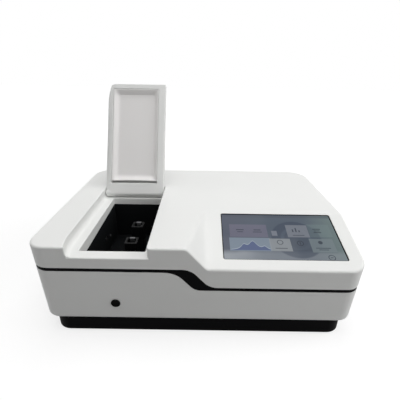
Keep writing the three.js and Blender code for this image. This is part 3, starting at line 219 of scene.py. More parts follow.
# Casing. Two moulded white shells meet at a stepped joint, with a black band pressed into it. The
# sizes repeat the CAD's. The top cover is rings of points round its plan, with a patch inside them
# for the top, from which the hollow, the lid's bay, the well and the screen's window are cut.


def moulded(name, color, roughness, grain, depth, specular=0.5, drift=0.03):
    """Moulded plastic: a fine spark-eroded grain, slow drifts of tone and handled patches."""
    material, place, shader = new_material(name)
    shader.inputs["Specular IOR Level"].default_value = specular
    drifting = place.node(
        "TexNoise", {}, {"Vector": place, "Scale": 9.0, "Detail": 4.0, "Roughness": 0.6}
    )
    handled = place.node("TexNoise", {}, {"Vector": place, "Scale": 38.0, "Detail": 3.0})
    grains = place.node(
        "TexVoronoi", {"feature": "SMOOTH_F1"}, {"Vector": place, "Scale": 1 / grain}, "Distance"
    )
    dust = place.node("TexNoise", {}, {"Vector": place, "Scale": 0.4 / grain, "Detail": 2.0})
    dark = tuple((1 - drift) * c for c in color) + (1,)
    light = tuple(min(1.0, (1 + 0.6 * drift) * c) for c in color) + (1,)
    (drifting * 0.8 + dust * 0.2).mix(dark, light).into(shader, "Base Color")
    (handled * 0.16 + grains * 0.06 + (roughness - 0.11)).into(shader, "Roughness")
    relief = grains * 0.7 + dust * 0.3
    place.node("Bump", {}, {"Strength": 0.5, "Distance": depth, "Height": relief}).into(
        shader, "Normal"
    )
    return material


white = moulded("white_plastic", (0.82, 0.825, 0.81), 0.42, 0.0006, 0.000012)
half_width, half_depth, deck_level = 0.2373, 0.17097, 0.155
wall_lean = math.radians(2.5)
front_corner, back_corner = 0.028, 0.038
shell_wall = 0.003
slope_angle, slope_front_level = math.radians(16.2), 0.1214
slope_tan = math.tan(slope_angle)
facet_top_x, facet_foot_x, facet_back_x = -0.018, 0.0105, 0.006
valley_blend, crease_blend, shoulder_blend, blend_run = 0.005, 0.0018, 0.004, 0.01


def draw_in(level):
    """How far the walls lean in at a level: (deck level - level) x the draft's tangent."""
    return (deck_level - level) * math.tan(wall_lean)


slope_front_y = draw_in(slope_front_level) - half_depth
crease_y = slope_front_y + (deck_level - slope_front_level) / slope_tan


def soft_max(a, b, blend):
    """The larger of two heights, its corner filled in: max + (blend - |a - b|)^2 / (4 blend)."""
    near = np.clip(blend - np.abs(a - b), 0, None)
    return np.maximum(a, b) + near * near / (4 * blend)


def deck_height(x, y):
    """Height of the top: the deck, or where lower, the higher of the slope and the facet.

    The facet is the leaning plane between the high left half and the slope. soft_max fills the
    valley at its foot, and with the signs turned it rounds the crease and the shoulder.
    """
    slope_plane = deck_level - (crease_y - y) * slope_tan
    top = np.array([facet_top_x, -half_depth, deck_level])
    foot = np.array([facet_foot_x, slope_front_y, slope_front_level])
    back = np.array([facet_back_x, crease_y, deck_level])
    normal = np.cross(foot - top, back - top)
    facet_plane = top[2] - ((x - top[0]) * normal[0] + (y - top[1]) * normal[1]) / normal[2]
    lowered = soft_max(slope_plane, facet_plane, valley_blend)
    facet_share = np.clip((facet_plane - slope_plane) / blend_run, 0, 1)
    blend = crease_blend + (shoulder_blend - crease_blend) * facet_share
    return -soft_max(-deck_level + 0 * x, -lowered, blend)


def spread(first, last, step):
    """Evenly spaced numbers from first to last, about step apart."""
    return np.linspace(first, last, max(2, int(round(abs(last - first) / step)) + 1))


# Stations along the plan's straights, close together where the top bends
station_x = np.concatenate([
    [-0.19, -0.15, -0.11], spread(-0.078, 0.052, 0.002), [0.07, 0.1, 0.14, 0.19],
])
station_y = np.concatenate([
    spread(-0.138, -0.074, 0.01), spread(-0.07, -0.034, 0.002), spread(-0.028, 0.128, 0.026),
])
arc_count = 9


def plan_sides():
    """The plan's outline at deck level, as four sides that meet in the middle of the corner arcs.

    A side is half an arc, its straight's stations and half an arc. Each comes as points and
    outward normals: front and back from left to right, left and right from front to back.
    """
    def arc(side_x, side_y, radius, start, stop):
        a = np.radians(np.linspace(start, stop, arc_count))
        centre = np.array([side_x * (half_width - radius), side_y * (half_depth - radius)])
        normal = np.stack([np.cos(a), np.sin(a)], 1)
        return centre + radius * normal, normal

    def straight(x, y, normal):
        points = np.stack(np.broadcast_arrays(x, y), 1)
        return points, np.tile(normal, (len(points), 1))

    def side(*parts):
        return tuple(np.vstack([part[k] for part in parts]) for k in (0, 1))

    front = side(
        arc(-1, -1, front_corner, 225, 270), straight(station_x, -half_depth, (0, -1)),
        arc(1, -1, front_corner, 270, 315),
    )
    back = side(
        arc(-1, 1, back_corner, 135, 90), straight(station_x, half_depth, (0, 1)),
        arc(1, 1, back_corner, 90, 45),
    )
    left = side(
        arc(-1, -1, front_corner, 225, 180), straight(-half_width, station_y, (-1, 0)),
        arc(-1, 1, back_corner, 180, 135),
    )
    right = side(
        arc(1, -1, front_corner, -45, 0), straight(half_width, station_y, (1, 0)),
        arc(1, 1, back_corner, 0, 45),
    )
    return front, right, back, left


def plan_loop():
    """The four sides as one closed loop of points and normals, counter-clockwise from above."""
    front, right, back, left = plan_sides()
    return tuple(
        np.vstack([front[k][:-1], right[k][:-1], back[k][::-1][:-1], left[k][::-1][:-1]])
        for k in (0, 1)
    )


def ring_at(level, inset):
    """The loop at a level: each station drawn in along its normal by the draft and the inset."""
    points, normals = plan_loop()
    level = level + np.zeros(len(points))
    plan = points - normals * (draw_in(level) + inset)[:, None]
    return np.column_stack([plan, level])


def rolled_rings(drop, side_radius, edge_radius, steps):
    """Rings over the rim, from the wall's top to the flat, round a quarter circle: inset by
    r (1 - cos a) at r (1 - sin a) below the top, with r = edge + (side - edge) |normal's x|^1.5.
    The level and the draft depend on each other and settle in three rounds.
    """
    points, normals = plan_loop()
    radius = edge_radius + (side_radius - edge_radius) * np.abs(normals[:, 0]) ** 1.5
    rings = []
    for a in np.radians(np.linspace(0, 90, steps)):
        inset = drop + radius * (1 - math.cos(a))
        level = deck_level - drop + np.zeros(len(points))
        for _ in range(3):
            plan = points - normals * (draw_in(level) + inset)[:, None]
            level = deck_height(plan[:, 0], plan[:, 1]) - drop - radius * (1 - math.sin(a))
        rings.append(np.column_stack([plan, level]))
    return rings


def top_patch(drop, inset):
    """The top inside the rim as a Coons patch between the four sides drawn in by the inset:
    P = (1-v) front + v back + (1-u) left + u right - the corners' blend; z is the deck height.
    """
    sides = []
    for points, normals in plan_sides():
        level = deck_height(*(points - normals * inset).T)
        sides.append(points - normals * (draw_in(level) + inset)[:, None])
    front, right, back, left = sides
    u = ((front[:, 0] - front[0, 0]) / (front[-1, 0] - front[0, 0]))[None, :, None]
    v = ((left[:, 1] - left[0, 1]) / (left[-1, 1] - left[0, 1]))[:, None, None]
    ruled = (1 - v) * front[None] + v * back[None] + (1 - u) * left[:, None] + u * right[:, None]
    front_corners = (1 - u) * front[0] + u * front[-1]
    back_corners = (1 - u) * back[0] + u * back[-1]
    plan = ruled - ((1 - v) * front_corners + v * back_corners)
    return np.dstack([plan, deck_height(plan[..., 0], plan[..., 1]) - drop])


def border(patch):
    """The points round a patch's edge, as one loop."""
    return np.vstack([patch[0, :-1], patch[:-1, -1], patch[-1, ::-1][:-1], patch[::-1, 0][:-1]])


class Skin:
    """A mesh gathered from grids and flat caps, its doubles merged and its faces turned out."""

    def __init__(self):
        self.points, self.faces, self.count = [], [], 0

    def grid(self, rows, closed=False):
        """Faces between the points of a grid, (rows, columns, 3); closed joins its last column
        to its first."""
        rows = np.asarray(rows, float)
        n, m = rows.shape[:2]
        index = self.count + np.arange(n * m).reshape(n, m)
        if closed:
            index = np.hstack([index, index[:, :1]])
        quads = np.stack([index[:-1, :-1], index[:-1, 1:], index[1:, 1:], index[1:, :-1]], -1)
        self.faces += quads.reshape(-1, 4).tolist()
        self.points.append(rows.reshape(-1, 3))
        self.count += n * m
        return self

    def cap(self, ring):
        """One flat face over a ring."""
        self.faces.append(list(range(self.count, self.count + len(ring))))
        self.points.append(np.asarray(ring, float))
        self.count += len(ring)
        return self

    def tube(self, rings):
        """A closed solid from rings: its wall and a cap on either end."""
        return self.grid(rings, closed=True).cap(rings[0]).cap(rings[-1])

    def mesh(self, name):
        merge = 1e-6
        made = bpy.data.meshes.new(name)
        made.from_pydata(np.vstack(self.points).tolist(), [], self.faces)
        shape = bmesh.new()
        shape.from_mesh(made)
        bmesh.ops.remove_doubles(shape, verts=shape.verts, dist=merge)
        bmesh.ops.dissolve_degenerate(shape, edges=shape.edges, dist=merge)
        bmesh.ops.recalc_face_normals(shape, faces=shape.faces)
        shape.to_mesh(made)
        shape.free()
        return made


def put(name, mesh):
    """A mesh as an object of the scene, at the origin."""
    made = bpy.data.objects.new(name, mesh)
    scene.collection.objects.link(made)
    return made


def solid(name, rings):
    """A closed solid through rings of points."""
    return put(name, Skin().tube(rings).mesh(name))


def carve(body, *tools, operation="DIFFERENCE"):
    """The body less (or joined with) each tool in turn; the tools are used up."""
    for tool in tools:
        cut = body.modifiers.new("cut", "BOOLEAN")
        cut.operation, cut.object, cut.solver = operation, tool, "EXACT"
    bpy.context.view_layer.update()
    evaluated = body.evaluated_get(bpy.context.evaluated_depsgraph_get())
    shaped = bpy.data.meshes.new_from_object(evaluated)
    body.modifiers.clear()
    body.data = shaped
    for tool in tools:
        bpy.data.objects.remove(tool)
    return body


def dress(piece, material, body, nodes, sharp=32):
    """Gives a finished piece its material, smooth faces with sharp creases and its body, and hides
    the CAD nodes that it replaces."""
    piece.data.materials.clear()
    piece.data.materials.append(material)
    piece.data.shade_smooth()
    piece.data.set_sharp_from_angle(angle=math.radians(sharp))
    piece.modifiers.new("weighted", "WEIGHTED_NORMAL").keep_sharp = True
    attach(piece, body)
    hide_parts(*nodes)
    return piece


def block(name, low, high):
    """A plain box between two corners."""
    (x0, y0, z0), (x1, y1, z1) = low, high
    return solid(name, [[(x0, y0, z), (x1, y0, z), (x1, y1, z), (x0, y1, z)] for z in (z0, z1)])


# The stepped joint's two lines, seen from the front: level, down a rounded step, level again
step_angle, step_start, step_shift = math.radians(49), -0.0334, 0.021
joint_high, joint_low, band_height = 0.1153, 0.0842, 0.0058
cut_reach, cut_margin = 0.3, 0.01
below_all, above_all = -0.1, 0.2


def step_line(shift, rise, top_radius, foot_radius):
    """(x, level) along a joint line: an arc out of the high level, a straight at the step's
    angle, and an arc into the low one."""
    high, low = joint_high + rise, joint_low + rise
    start = step_start + shift
    end = start + (high - low) / math.tan(step_angle)
    half = math.tan(step_angle / 2)
    a = np.linspace(0, step_angle, 12)
    top_x = start - top_radius * half + top_radius * np.sin(a)
    top_z = high - top_radius + top_radius * np.cos(a)
    foot_x = end + foot_radius * half - foot_radius * np.sin(a[::-1])
    foot_z = low + foot_radius - foot_radius * np.cos(a[::-1])
    x = np.concatenate([[-cut_reach], top_x, foot_x, [cut_reach]])
    z = np.concatenate([[high], top_z, foot_z, [low]])
    return x, z


def beyond_line(name, line, level):
    """A solid between a joint line and a level beyond everything, through the whole depth."""
    x, z = line
    x, z = np.concatenate([x, x[::-1]]), np.concatenate([z, 0 * z + level])
    return solid(name, [np.column_stack([x, 0 * x + y, z]) for y in (-cut_reach, cut_reach)])


lower_line = step_line(0, 0, 0.035, 0.020)
upper_line = step_line(step_shift, band_height, 0.026, 0.026)


def raised(line, rise):
    """The same line, higher by a rise."""
    return line[0], line[1] + rise


cover_foot, patch_margin = 0.02, 0.0095
rim_side_radius, rim_edge_radius = 0.0042, 0.003
hollow_side_radius, hollow_edge_radius = 0.006, 0.0015


def cover_form(name, drop, side_radius, edge_radius):
    """The casing's closed form down to its foot, or the same form drawn in evenly by a drop."""
    rolled = rolled_rings(drop, side_radius, edge_radius, 3 if drop else 8)
    foot_ring = ring_at(cover_foot, drop)
    patch = top_patch(drop, drop + patch_margin)
    skin = Skin().grid([foot_ring, *rolled, border(patch)], closed=True).grid(patch)
    return put(name, skin.cap(foot_ring).mesh(name))


# Lid bay, well opening and skirt
bay_left, bay_right, bay_level = -0.1875, -0.0715, 0.1384
bay_squeeze, bay_squeeze_length = 0.006, 0.036
bay_flare_left, bay_flare_right = 0.0015, 0.0055
well_left, well_right, well_front, well_back = -0.170, -0.0765, -0.152, 0.0366
skirt_front_drop, skirt_back_drop, skirt_wall = 0.018, 0.0124, 0.0025
hinge_y, hinge_level = 0.0454, 0.14685
lid_angle, swing_room = math.radians(115.7), 0.003
lid_lean = lid_angle - math.pi / 2
swing_reach = (deck_level - hinge_level) * (1 / math.cos(lid_lean) + math.tan(lid_lean))
bay_back = hinge_y + swing_reach + swing_room
cut_rise = 0.02


def bay_plan(grow_left, grow_right, grow_back, level):
    """The bay's plan at a level, open past the front wall, with both front edges rounded off.

    Each grow moves its wall out. The left wall bends in over its last part: left + squeeze t^2.
    """
    left, right, back = bay_left - grow_left, bay_right + grow_right, bay_back + grow_back
    face = draw_in(level) - half_depth
    t = np.linspace(0, 1, 14)[::-1]
    wall_x = left + bay_squeeze * t * t
    wall_y = bay_squeeze_length - half_depth - bay_squeeze_length * t
    a = np.radians(np.linspace(4, 86, 7))

    def rounded_off(wall, way, radius):
        x = wall + way * radius * (1 - np.sin(a))
        return np.column_stack([x, face + radius * (1 - np.cos(a))])

    left_front = rounded_off(wall_x[0], -1, bay_flare_left)
    right_front = rounded_off(right, 1, bay_flare_right)[::-1]
    keep = wall_y > face + bay_flare_left * 1.05  # only the stations behind the rounded edge
    ring = np.vstack([
        [[left_front[0, 0], face - cut_rise]], left_front,
        np.column_stack([wall_x[keep], wall_y[keep]]), [[left, back]], [[right, back]],
        right_front, [[right_front[-1, 0], face - cut_rise]],
    ])
    return np.column_stack([ring, np.full(len(ring), level)])


def lifted(ring, level):
    """The same ring at another level."""
    return np.column_stack([ring[:, :2], np.full(len(ring), level)])


def bay_cutter():
    """The bay: a broad fillet along its left foot, a tight one elsewhere, and a rolled lip."""
    fillet_left, fillet_right, lip = 0.007, 0.001, 0.0013
    rings = []
    for a in np.radians(np.linspace(0, 90, 8)):
        level = bay_level + fillet_left * (1 - math.cos(a))
        broad = fillet_left * (1 - math.sin(a))
        climbed = min(1.0, (level - bay_level) / fillet_right)
        tight = fillet_right * (1 - math.sqrt(max(0.0, 1 - (1 - climbed) ** 2)))
        rings.append(bay_plan(-broad, -tight, -tight, level))
    for a in np.radians(np.linspace(0, 84, 6)):
        flare = lip * (1 - math.cos(a))
        rings.append(bay_plan(flare, flare, flare, deck_level - lip + lip * math.sin(a)))
    return solid("bay_cut", [*rings, lifted(rings[-1], deck_level + cut_rise)])


def rounded_ring(x0, x1, y0, y1, radius, level, arc=5):
    """A rectangle with rounded corners at a level: four quarter circles, centre + r (cos, sin)."""
    a = np.radians(np.linspace([0, 90, 180, 270], [90, 180, 270, 360], arc, axis=1))
    centre_x = np.array([x1 - radius, x0 + radius, x0 + radius, x1 - radius])[:, None]
    centre_y = np.array([y1 - radius, y1 - radius, y0 + radius, y0 + radius])[:, None]
    x, y = centre_x + radius * np.cos(a), centre_y + radius * np.sin(a)
    return np.column_stack([x.ravel(), y.ravel(), np.full(x.size, level)])


def grown_ring(left, right, front, back, corner, grow, level, arc=5):
    """A rounded rectangle grown by an equal margin all round."""
    return rounded_ring(
        left - grow, right + grow, front - grow, back + grow, corner + grow, level, arc
    )


def well_cutter():
    """The well's opening, straight up to a rolled lip at the bay's floor."""
    lip, corner = 0.0008, 0.0012
    a = np.radians([25, 50, 84])
    levels = [0, bay_level - lip, *(bay_level - lip + lip * np.sin(a))]
    rings = [
        grown_ring(well_left, well_right, well_front, well_back, corner, grow, level)
        for level, grow in zip(levels, [0, 0, *(lip * (1 - np.cos(a)))])
    ]
    return solid("well_cut", [*rings, lifted(rings[-1], deck_level + cut_rise)])


def sill_cutter():
    """Takes the corner off the sill's front edge: what lies outside a quarter circle, along X."""
    roll, margin_y, margin_z, left_margin, right_margin = 0.0016, 0.003, 0.0012, 0.0003, 0.004
    face = draw_in(bay_level) - half_depth
    a = np.radians(np.linspace(3, 87, 7))
    arc = np.column_stack([face + roll - roll * np.cos(a), bay_level - roll + roll * np.sin(a)])
    front, top = face - margin_y, bay_level + margin_z
    profile = np.vstack([arc, [[arc[-1, 0], top], [front, top], [front, bay_level - roll]]])
    ends = (bay_left + bay_squeeze + left_margin, bay_right + right_margin)
    return solid("sill_cut", [
        np.column_stack([np.full(len(profile), x), profile]) for x in ends
    ])


# Screen window, in the slope's own frame
screen_x, screen_y = 0.1238, -0.104
screen_half_width, screen_half_length, screen_corner = 0.09, 0.0485, 0.003
screen_level = deck_level - (crease_y - screen_y) * slope_tan


def on_slope(points):
    """Points of the screen's frame (across, up the slope, out of it) moved onto the slope."""
    across, up, out = np.moveaxis(np.asarray(points, float), -1, 0)
    c, s = math.cos(slope_angle), math.sin(slope_angle)
    y, z = up * c - out * s, up * s + out * c
    return np.stack([across + screen_x, y + screen_y, z + screen_level], -1)


def window_ring(grow, level):
    """The window's rounded rectangle, grown by a margin, at a height over the slope."""
    w, h = screen_half_width, screen_half_length
    return on_slope(grown_ring(-w, w, -h, h, screen_corner, grow, level))


def window_cutter():
    """The screen's window, with a small rolled lip."""
    lip = 0.0006
    rolled = [
        window_ring(lip * (1 - math.cos(a)), lip * math.sin(a) - lip)
        for a in np.radians([30, 60, 84])
    ]
    return solid("window_cut", [
        window_ring(0, -cut_rise), window_ring(0, -lip), *rolled, window_ring(0.9 * lip, cut_rise)
    ])


def skirt_block():
    """The skirt's outside: a block round the well opening whose foot climbs towards the back."""
    x0, x1 = well_left - skirt_wall, well_right + skirt_wall
    y0, y1 = well_front - skirt_wall, well_back + skirt_wall
    climb = (skirt_front_drop - skirt_back_drop) / (well_back - well_front)
    foot = [bay_level - skirt_front_drop + (y - well_front) * climb for y in (y0, y0, y1, y1)]
    plan = [(x0, y0), (x1, y0), (x1, y1), (x0, y1)]
    over = bay_level + cut_margin
    return solid("skirt", [
        [(x, y, z) for (x, y), z in zip(plan, foot)], [(x, y, over) for x, y in plan]
    ])


def turned(name, profile, base, along=(0, 0, 1), sides=32):
    """A piece turned on a lathe. Points of the profile (radius r, height h) go round the axis:
    P = base + h along + r (cos t u + sin t v), with u and v square to the axis."""
    axis = Vector(along).normalized()
    u = Vector((0, 0, 1)) if abs(axis.z) < 0.5 else Vector((1, 0, 0))
    u = (u - axis * u.dot(axis)).normalized()
    v = axis.cross(u)
    t = np.linspace(0, 2 * math.pi, sides, endpoint=False)
    spokes = np.outer(np.cos(t), u) + np.outer(np.sin(t), v)
    radius, height = np.asarray(profile, float).T[..., None, None]
    return solid(name, np.asarray(base, float) + height * np.array(axis) + radius * spokes)


def rod(name, radius, length, base, along=(0, 0, 1), sides=32):
    """A plain round rod from its base."""
    return turned(name, [(radius, 0), (radius, length)], base, along, sides)


def pin_cut(low_x, high_x, radius):
    """A bore along the hinge's axis."""
    base = (low_x, hinge_y, hinge_level)
    return rod("pin_cut", radius, high_x - low_x, base, (1, 0, 0), 24)


hollow = cover_form("hollow", shell_wall, hollow_side_radius, hollow_edge_radius)
bay_room = block(
    "bay_room", (bay_left - shell_wall, -cut_reach, bay_level - shell_wall),
    (bay_right + shell_wall, bay_back + shell_wall, above_all),
)
carve(hollow, bay_room, skirt_block())

pin_depth, cover_pin_radius = 0.008, 0.0023
cover = cover_form("top_cover_skin", 0, rim_side_radius, rim_edge_radius)
carve(
    cover, hollow, beyond_line("below", upper_line, below_all), bay_cutter(), sill_cutter(),
    well_cutter(), window_cutter(),
    pin_cut(bay_left - pin_depth, bay_right + pin_depth, cover_pin_radius),
)
dress(cover, white, "housing", ["top_cover"])

# Lower case. The moulded white lower shell, open underneath but for a rim, with four screw bosses,
# a lip that the upper shell drops over, a round port in front and a window for the rear panel.
case_foot, case_floor, foot_roll, case_top = 0.0275, 0.0305, 0.006, 0.135
lip_wall, lip_rise, root_depth, fit_gap = 0.002, 0.004, 0.008, 0.0003
lip_foot, lip_top = 0.04, 0.134
opening_rim, opening_corner = 0.026, 0.004
boss_radius, boss_low, boss_length = 0.005, 0.0048, 0.0257
screw_bore, bore_low, bore_length = 0.0018, 0.002, 0.034
screw_x, screw_y = half_width - 0.0333, half_depth - 0.045
port_x, port_level, port_radius = (bay_left + bay_right) / 2 + 0.008, 0.0592, 0.0057
port_ahead, port_behind = 0.004, 0.02


def wall_form(name, inset, low, high, roll=0.0):
    """The casing's drafted walls between two levels; the bottom edge is a quarter circle of
    radius roll: inset + roll (1 - cos a) at low + roll (1 - sin a)."""
    turns = np.radians(np.linspace(90, 0, 8)) if roll else [math.pi / 2]
    rings = [
        ring_at(low + roll * (1 - math.sin(a)), inset + roll * (1 - math.cos(a))) for a in turns
    ]
    return solid(name, [*rings, ring_at(high, inset)])


def case_opening():
    """The opening in the case's floor, a rounded rectangle inside its rim."""
    w, d = half_width - shell_wall - opening_rim, half_depth - shell_wall - opening_rim
    low, high = 0.02, case_floor + fit_gap
    return solid("opening", [rounded_ring(-w, w, -d, d, opening_corner, z) for z in (low, high)])


def joint_wall(name, inset, line, rise):
    """A wall within the casing's, from below the joint's lower line up to a raised line."""
    inner_inset = shell_wall + fit_gap + lip_wall
    return carve(
        wall_form(name, inset, lip_foot, lip_top),
        wall_form("inner", inner_inset, lip_foot - cut_margin, lip_top + cut_margin),
        beyond_line("above", raised(line, rise), above_all),
        beyond_line("under", raised(lower_line, -root_depth), 0.0),
    )


screw_places = [(sx * screw_x, sy * screw_y) for sy in (-1, 1) for sx in (-1, 1)]
port_place = (port_x, draw_in(port_level) - half_depth, port_level)
port_axis = (0, math.cos(wall_lean), math.sin(wall_lean))

lower = wall_form("lower_case_skin", 0, case_foot, case_top, foot_roll)
inside = wall_form("inside", shell_wall, case_floor, case_top + cut_margin)
carve(lower, inside, beyond_line("above", lower_line, above_all), case_opening())
lip = joint_wall("lip", shell_wall + fit_gap, upper_line, lip_rise)
root = joint_wall("root", shell_wall - fit_gap, lower_line, 0)
bosses = [
    rod("boss", boss_radius, boss_length, (x, y, boss_low), sides=24) for x, y in screw_places
]
carve(lower, root, lip, *bosses, operation="UNION")
bores = [
    rod("bore", screw_bore, bore_length, (x, y, bore_low), sides=20) for x, y in screw_places
]
port_profile = [(port_radius, -port_ahead), (port_radius, port_behind)]
carve(lower, *bores, turned("port", port_profile, port_place, port_axis, 40))


def bend(piece, rule):
    """Moves all points of a piece by a rule that takes an array of points and gives another."""
    points = np.empty(3 * len(piece.data.vertices))
    piece.data.vertices.foreach_get("co", points)
    piece.data.vertices.foreach_set("co", np.asarray(rule(points.reshape(-1, 3))).ravel())
    piece.data.update()
    return piece


# The rear wall's own frame: across, out of the wall, and up it, from the panel's middle level
rear_level = 0.074
rear_face = half_depth - draw_in(rear_level)
rear_left, rear_right, rear_half_height = -0.19, -0.042, 0.034
window_in, window_out = 0.016, 0.008


def on_rear(points):
    """Points (across, out, up) of the rear wall's frame, moved onto the leaning wall:
    y = face + out cos + up sin, z = level - out sin + up cos."""
    across, out, up = np.asarray(points, float).T
    c, s = math.cos(wall_lean), math.sin(wall_lean)
    return np.column_stack([
        across, rear_face + out * c + up * s, rear_level - out * s + up * c
    ])


window = block(
    "rear_window", (rear_left - fit_gap, -window_in, -rear_half_height - fit_gap),
    (rear_right + fit_gap, window_out, rear_half_height + fit_gap),
)
carve(lower, bend(window, on_rear))
dress(lower, white, "housing", ["lower_case"])

# Trim band. One black strip of gloss plastic, pressed over the lip in the stepped joint. It is set
# back a little from the white walls all the way round.
trim = moulded(
    "trim_black", (0.004, 0.004, 0.0045), 0.34, 0.0006, 0.00002, specular=0.02, drift=0.2
)
band_setback, band_foot = 0.0004, 0.05
band = wall_form("trim_band_skin", band_setback, band_foot, lip_top)
carve(
    band, wall_form("inside", shell_wall, band_foot - cut_margin, lip_top + cut_margin),
    beyond_line("above", raised(upper_line, -fit_gap), above_all),
    beyond_line("under", raised(lower_line, fit_gap), 0.0),
)
dress(band, trim, "housing", ["trim_band"])

# Base pan. A black moulded tray that carries the instrument on four rubber feet, with posts for the
# bench and the boards. Each wall is a rounded rectangle raised in rings, its lower edge rolled.
plinth = moulded(
    "plinth_black", (0.0025, 0.0025, 0.0028), 0.5, 0.0009, 0.00005, specular=0.02, drift=0.3
)
pan_low, pan_high, pan_floor, pan_wall = 0.002, 0.0272, 0.0045, 0.0025
pan_side_setback, pan_end_setback, pan_corner = 0.0098, 0.004, 0.024
pan_edge, room_edge, pan_bore = 0.0012, 0.0008, 0.02
post_low, short_post_radius, short_post_length = 0.003, 0.0035, 0.0065


def pan_rings(grow, low, high, roll):
    """Rings of the pan's wall: its lower edge a quarter circle of radius roll, inset by
    roll (1 - cos a) at low + roll (1 - sin a), then straight up."""
    w = half_width - draw_in(case_foot) - pan_side_setback + grow
    d = half_depth - draw_in(case_foot) - pan_end_setback + grow
    rings = []
    for a in np.radians(np.linspace(90, 0, 5)):
        inset, level = roll * (1 - math.cos(a)), low + roll * (1 - math.sin(a))
        rings.append(grown_ring(-w, w, -d, d, pan_corner + grow, -inset, level, arc=10))
    return [*rings, lifted(rings[-1], high)]


bench_posts = [(x, y) for x in (-0.187, 0.187) for y in (-0.129, 0.129)]
board_posts = [(x, y) for x in (-0.168, 0.008) for y in (0.007, 0.113)]
supply_posts = [(x, y) for x in (0.072, 0.168) for y in (0.05, 0.126)]
tall_post = [(0.006, 0), (0.006, 0.0412), (0.0055, 0.0417)]
pan = solid("base_pan_skin", pan_rings(0, pan_low, pan_high, pan_edge))
carve(pan, solid("room", pan_rings(-pan_wall, pan_floor, pan_high + cut_margin, room_edge)))
posts = [turned("post", tall_post, (x, y, post_low)) for x, y in bench_posts]
posts += [
    rod("post", short_post_radius, short_post_length, (x, y, post_low), sides=20)
    for x, y in board_posts + supply_posts
]
carve(pan, *posts, operation="UNION")
carve(pan, *[rod("bore", screw_bore, pan_bore, (x, y, 0), sides=20) for x, y in screw_places])
dress(pan, plinth, "housing", ["base_pan"])

# Feet and base screws. Four turned rubber feet are hollowed like suction cups, and four
# zinc-plated pan-head screws hold the pan and the lower case together.
rubber = moulded(
    "rubber", (0.004, 0.004, 0.004), 0.85, 0.0005, 0.00006, specular=0.04, drift=0.3
)


def galvanised(name, color, roughness):
    """Zinc-plated sheet: crystal flakes a few millimetres across, some lighter, some duller."""
    material, place, shader = new_material(name)
    shader.inputs["Metallic"].default_value = 1.0
    flakes = place.node("TexVoronoi", {}, {"Vector": place, "Scale": 260.0}, "Color")
    flake = place.node("SeparateColor", {}, {0: flakes}, "Red")
    smears = place.node("TexNoise", {}, {"Vector": place, "Scale": 24.0, "Detail": 5.0})
    dark = tuple(0.72 * c for c in color) + (1,)
    (flake * 0.55 + smears * 0.45).mix(dark, tuple(color) + (1,)).into(shader, "Base Color")
    (flake * 0.12 + smears * 0.14 + (roughness - 0.13)).into(shader, "Roughness")
    relief = place.node("Bump", {}, {"Strength": 0.2, "Distance": 0.00002, "Height": flake})
    relief.into(shader, "Normal")
    return material


zinc = galvanised("zinc_steel", (0.44, 0.45, 0.46), 0.42)
foot_profile = [
    (0, 0.0005), (0.0045, 0.0005), (0.0056, 0), (0.0078, 0), (0.0086, 0.0003), (0.009, 0.0008),
    (0.009, 0.0015), (0.0088, 0.0017), (0, 0.0017),
]
foot_places = [(sx * 0.18, sy * 0.126) for sy in (-1, 1) for sx in (-1, 1)]
base_head_level, base_head_radius, base_head_height = 0.0017, 0.0032, 0.0014
base_shank_radius, base_shank_length = 0.0015, 0.0158


def screw(name, base, along, head_radius, head_height, shank_radius=0, shank_length=0):
    """A pan-head screw with a cross recess. Its crown is r = R cos a, h = rim + (H - rim) sin a,
    and its shank ends in a short cone."""
    rim, tip_length = 0.35 * head_height, 0.0006
    a = np.radians(np.linspace(0, 78, 6))
    crown = np.column_stack([head_radius * np.cos(a), rim + (head_height - rim) * np.sin(a)])
    shank = [(0, 0)]
    if shank_length:
        shank = [
            (0, -shank_length), (0.8 * shank_radius, -shank_length),
            (shank_radius, tip_length - shank_length), (shank_radius, 0),
        ]
    made = turned(name, [*shank, (head_radius, 0), *crown, (0, crown[-1, 1])], base, along, 28)
    turn = Vector((0, 0, 1)).rotation_difference(Vector(along).normalized())
    slot_reach, slot_half, over_head = 0.55 * head_radius, 0.11 * head_radius, 1.5 * head_height
    slots = []
    for x, y in ((slot_half, slot_reach), (slot_reach, slot_half)):
        slot = block("slot", (-x, -y, rim), (x, y, over_head))
        slot.data.transform(Matrix.Translation(base) @ turn.to_matrix().to_4x4())
        slots.append(slot)
    return carve(made, *slots)


corners = ("front_left", "front_right", "rear_left", "rear_right")
for corner, (foot_x, foot_y), (bolt_x, bolt_y) in zip(corners, foot_places, screw_places):
    foot = turned("foot_%s_skin" % corner, foot_profile, (foot_x, foot_y, 0), sides=40)
    dress(foot, rubber, "housing", ["foot_" + corner])
    bolt = screw(
        "base_screw_%s_skin" % corner, (bolt_x, bolt_y, base_head_level), (0, 0, -1),
        base_head_radius, base_head_height, base_shank_radius, base_shank_length,
    )
    dress(bolt, zinc, "housing", ["base_screw_" + corner])

# Sample lid. A long hollow moulding, drawn closed and then swung open about its hinge. Its left
# lower edge is well rounded to lie in the bay's fillet, its heel sinks towards the barrel, and a
# recess in its underside takes the liner.
lid_gap = 0.001
lid_left, lid_right = bay_left + lid_gap, bay_right - lid_gap
lid_low, lid_high, lid_heel = 0.1387, deck_level, hinge_y - 0.0005
recess_left, recess_right, recess_top = bay_left + 0.012, bay_right - 0.0145, 0.152
recess_front, recess_back = 0.010 - half_depth, hinge_y - 0.0185
recess_corner, recess_lip = 0.0012, 0.0007
front_roll, edge_roll, side_roll, top_roll = 0.003, 0.0009, 0.0014, 0.0012
rim_width, rim_height, rim_power = 0.0106, 0.0058, 1.45
lean_run, heel_start = 0.03, 0.199
barrel_radius, barrel_end = 0.0079, 0.004
heel_rise = hinge_level - barrel_radius - lid_low
lid_pin_radius, lid_pin_depth = 0.0024, 0.009


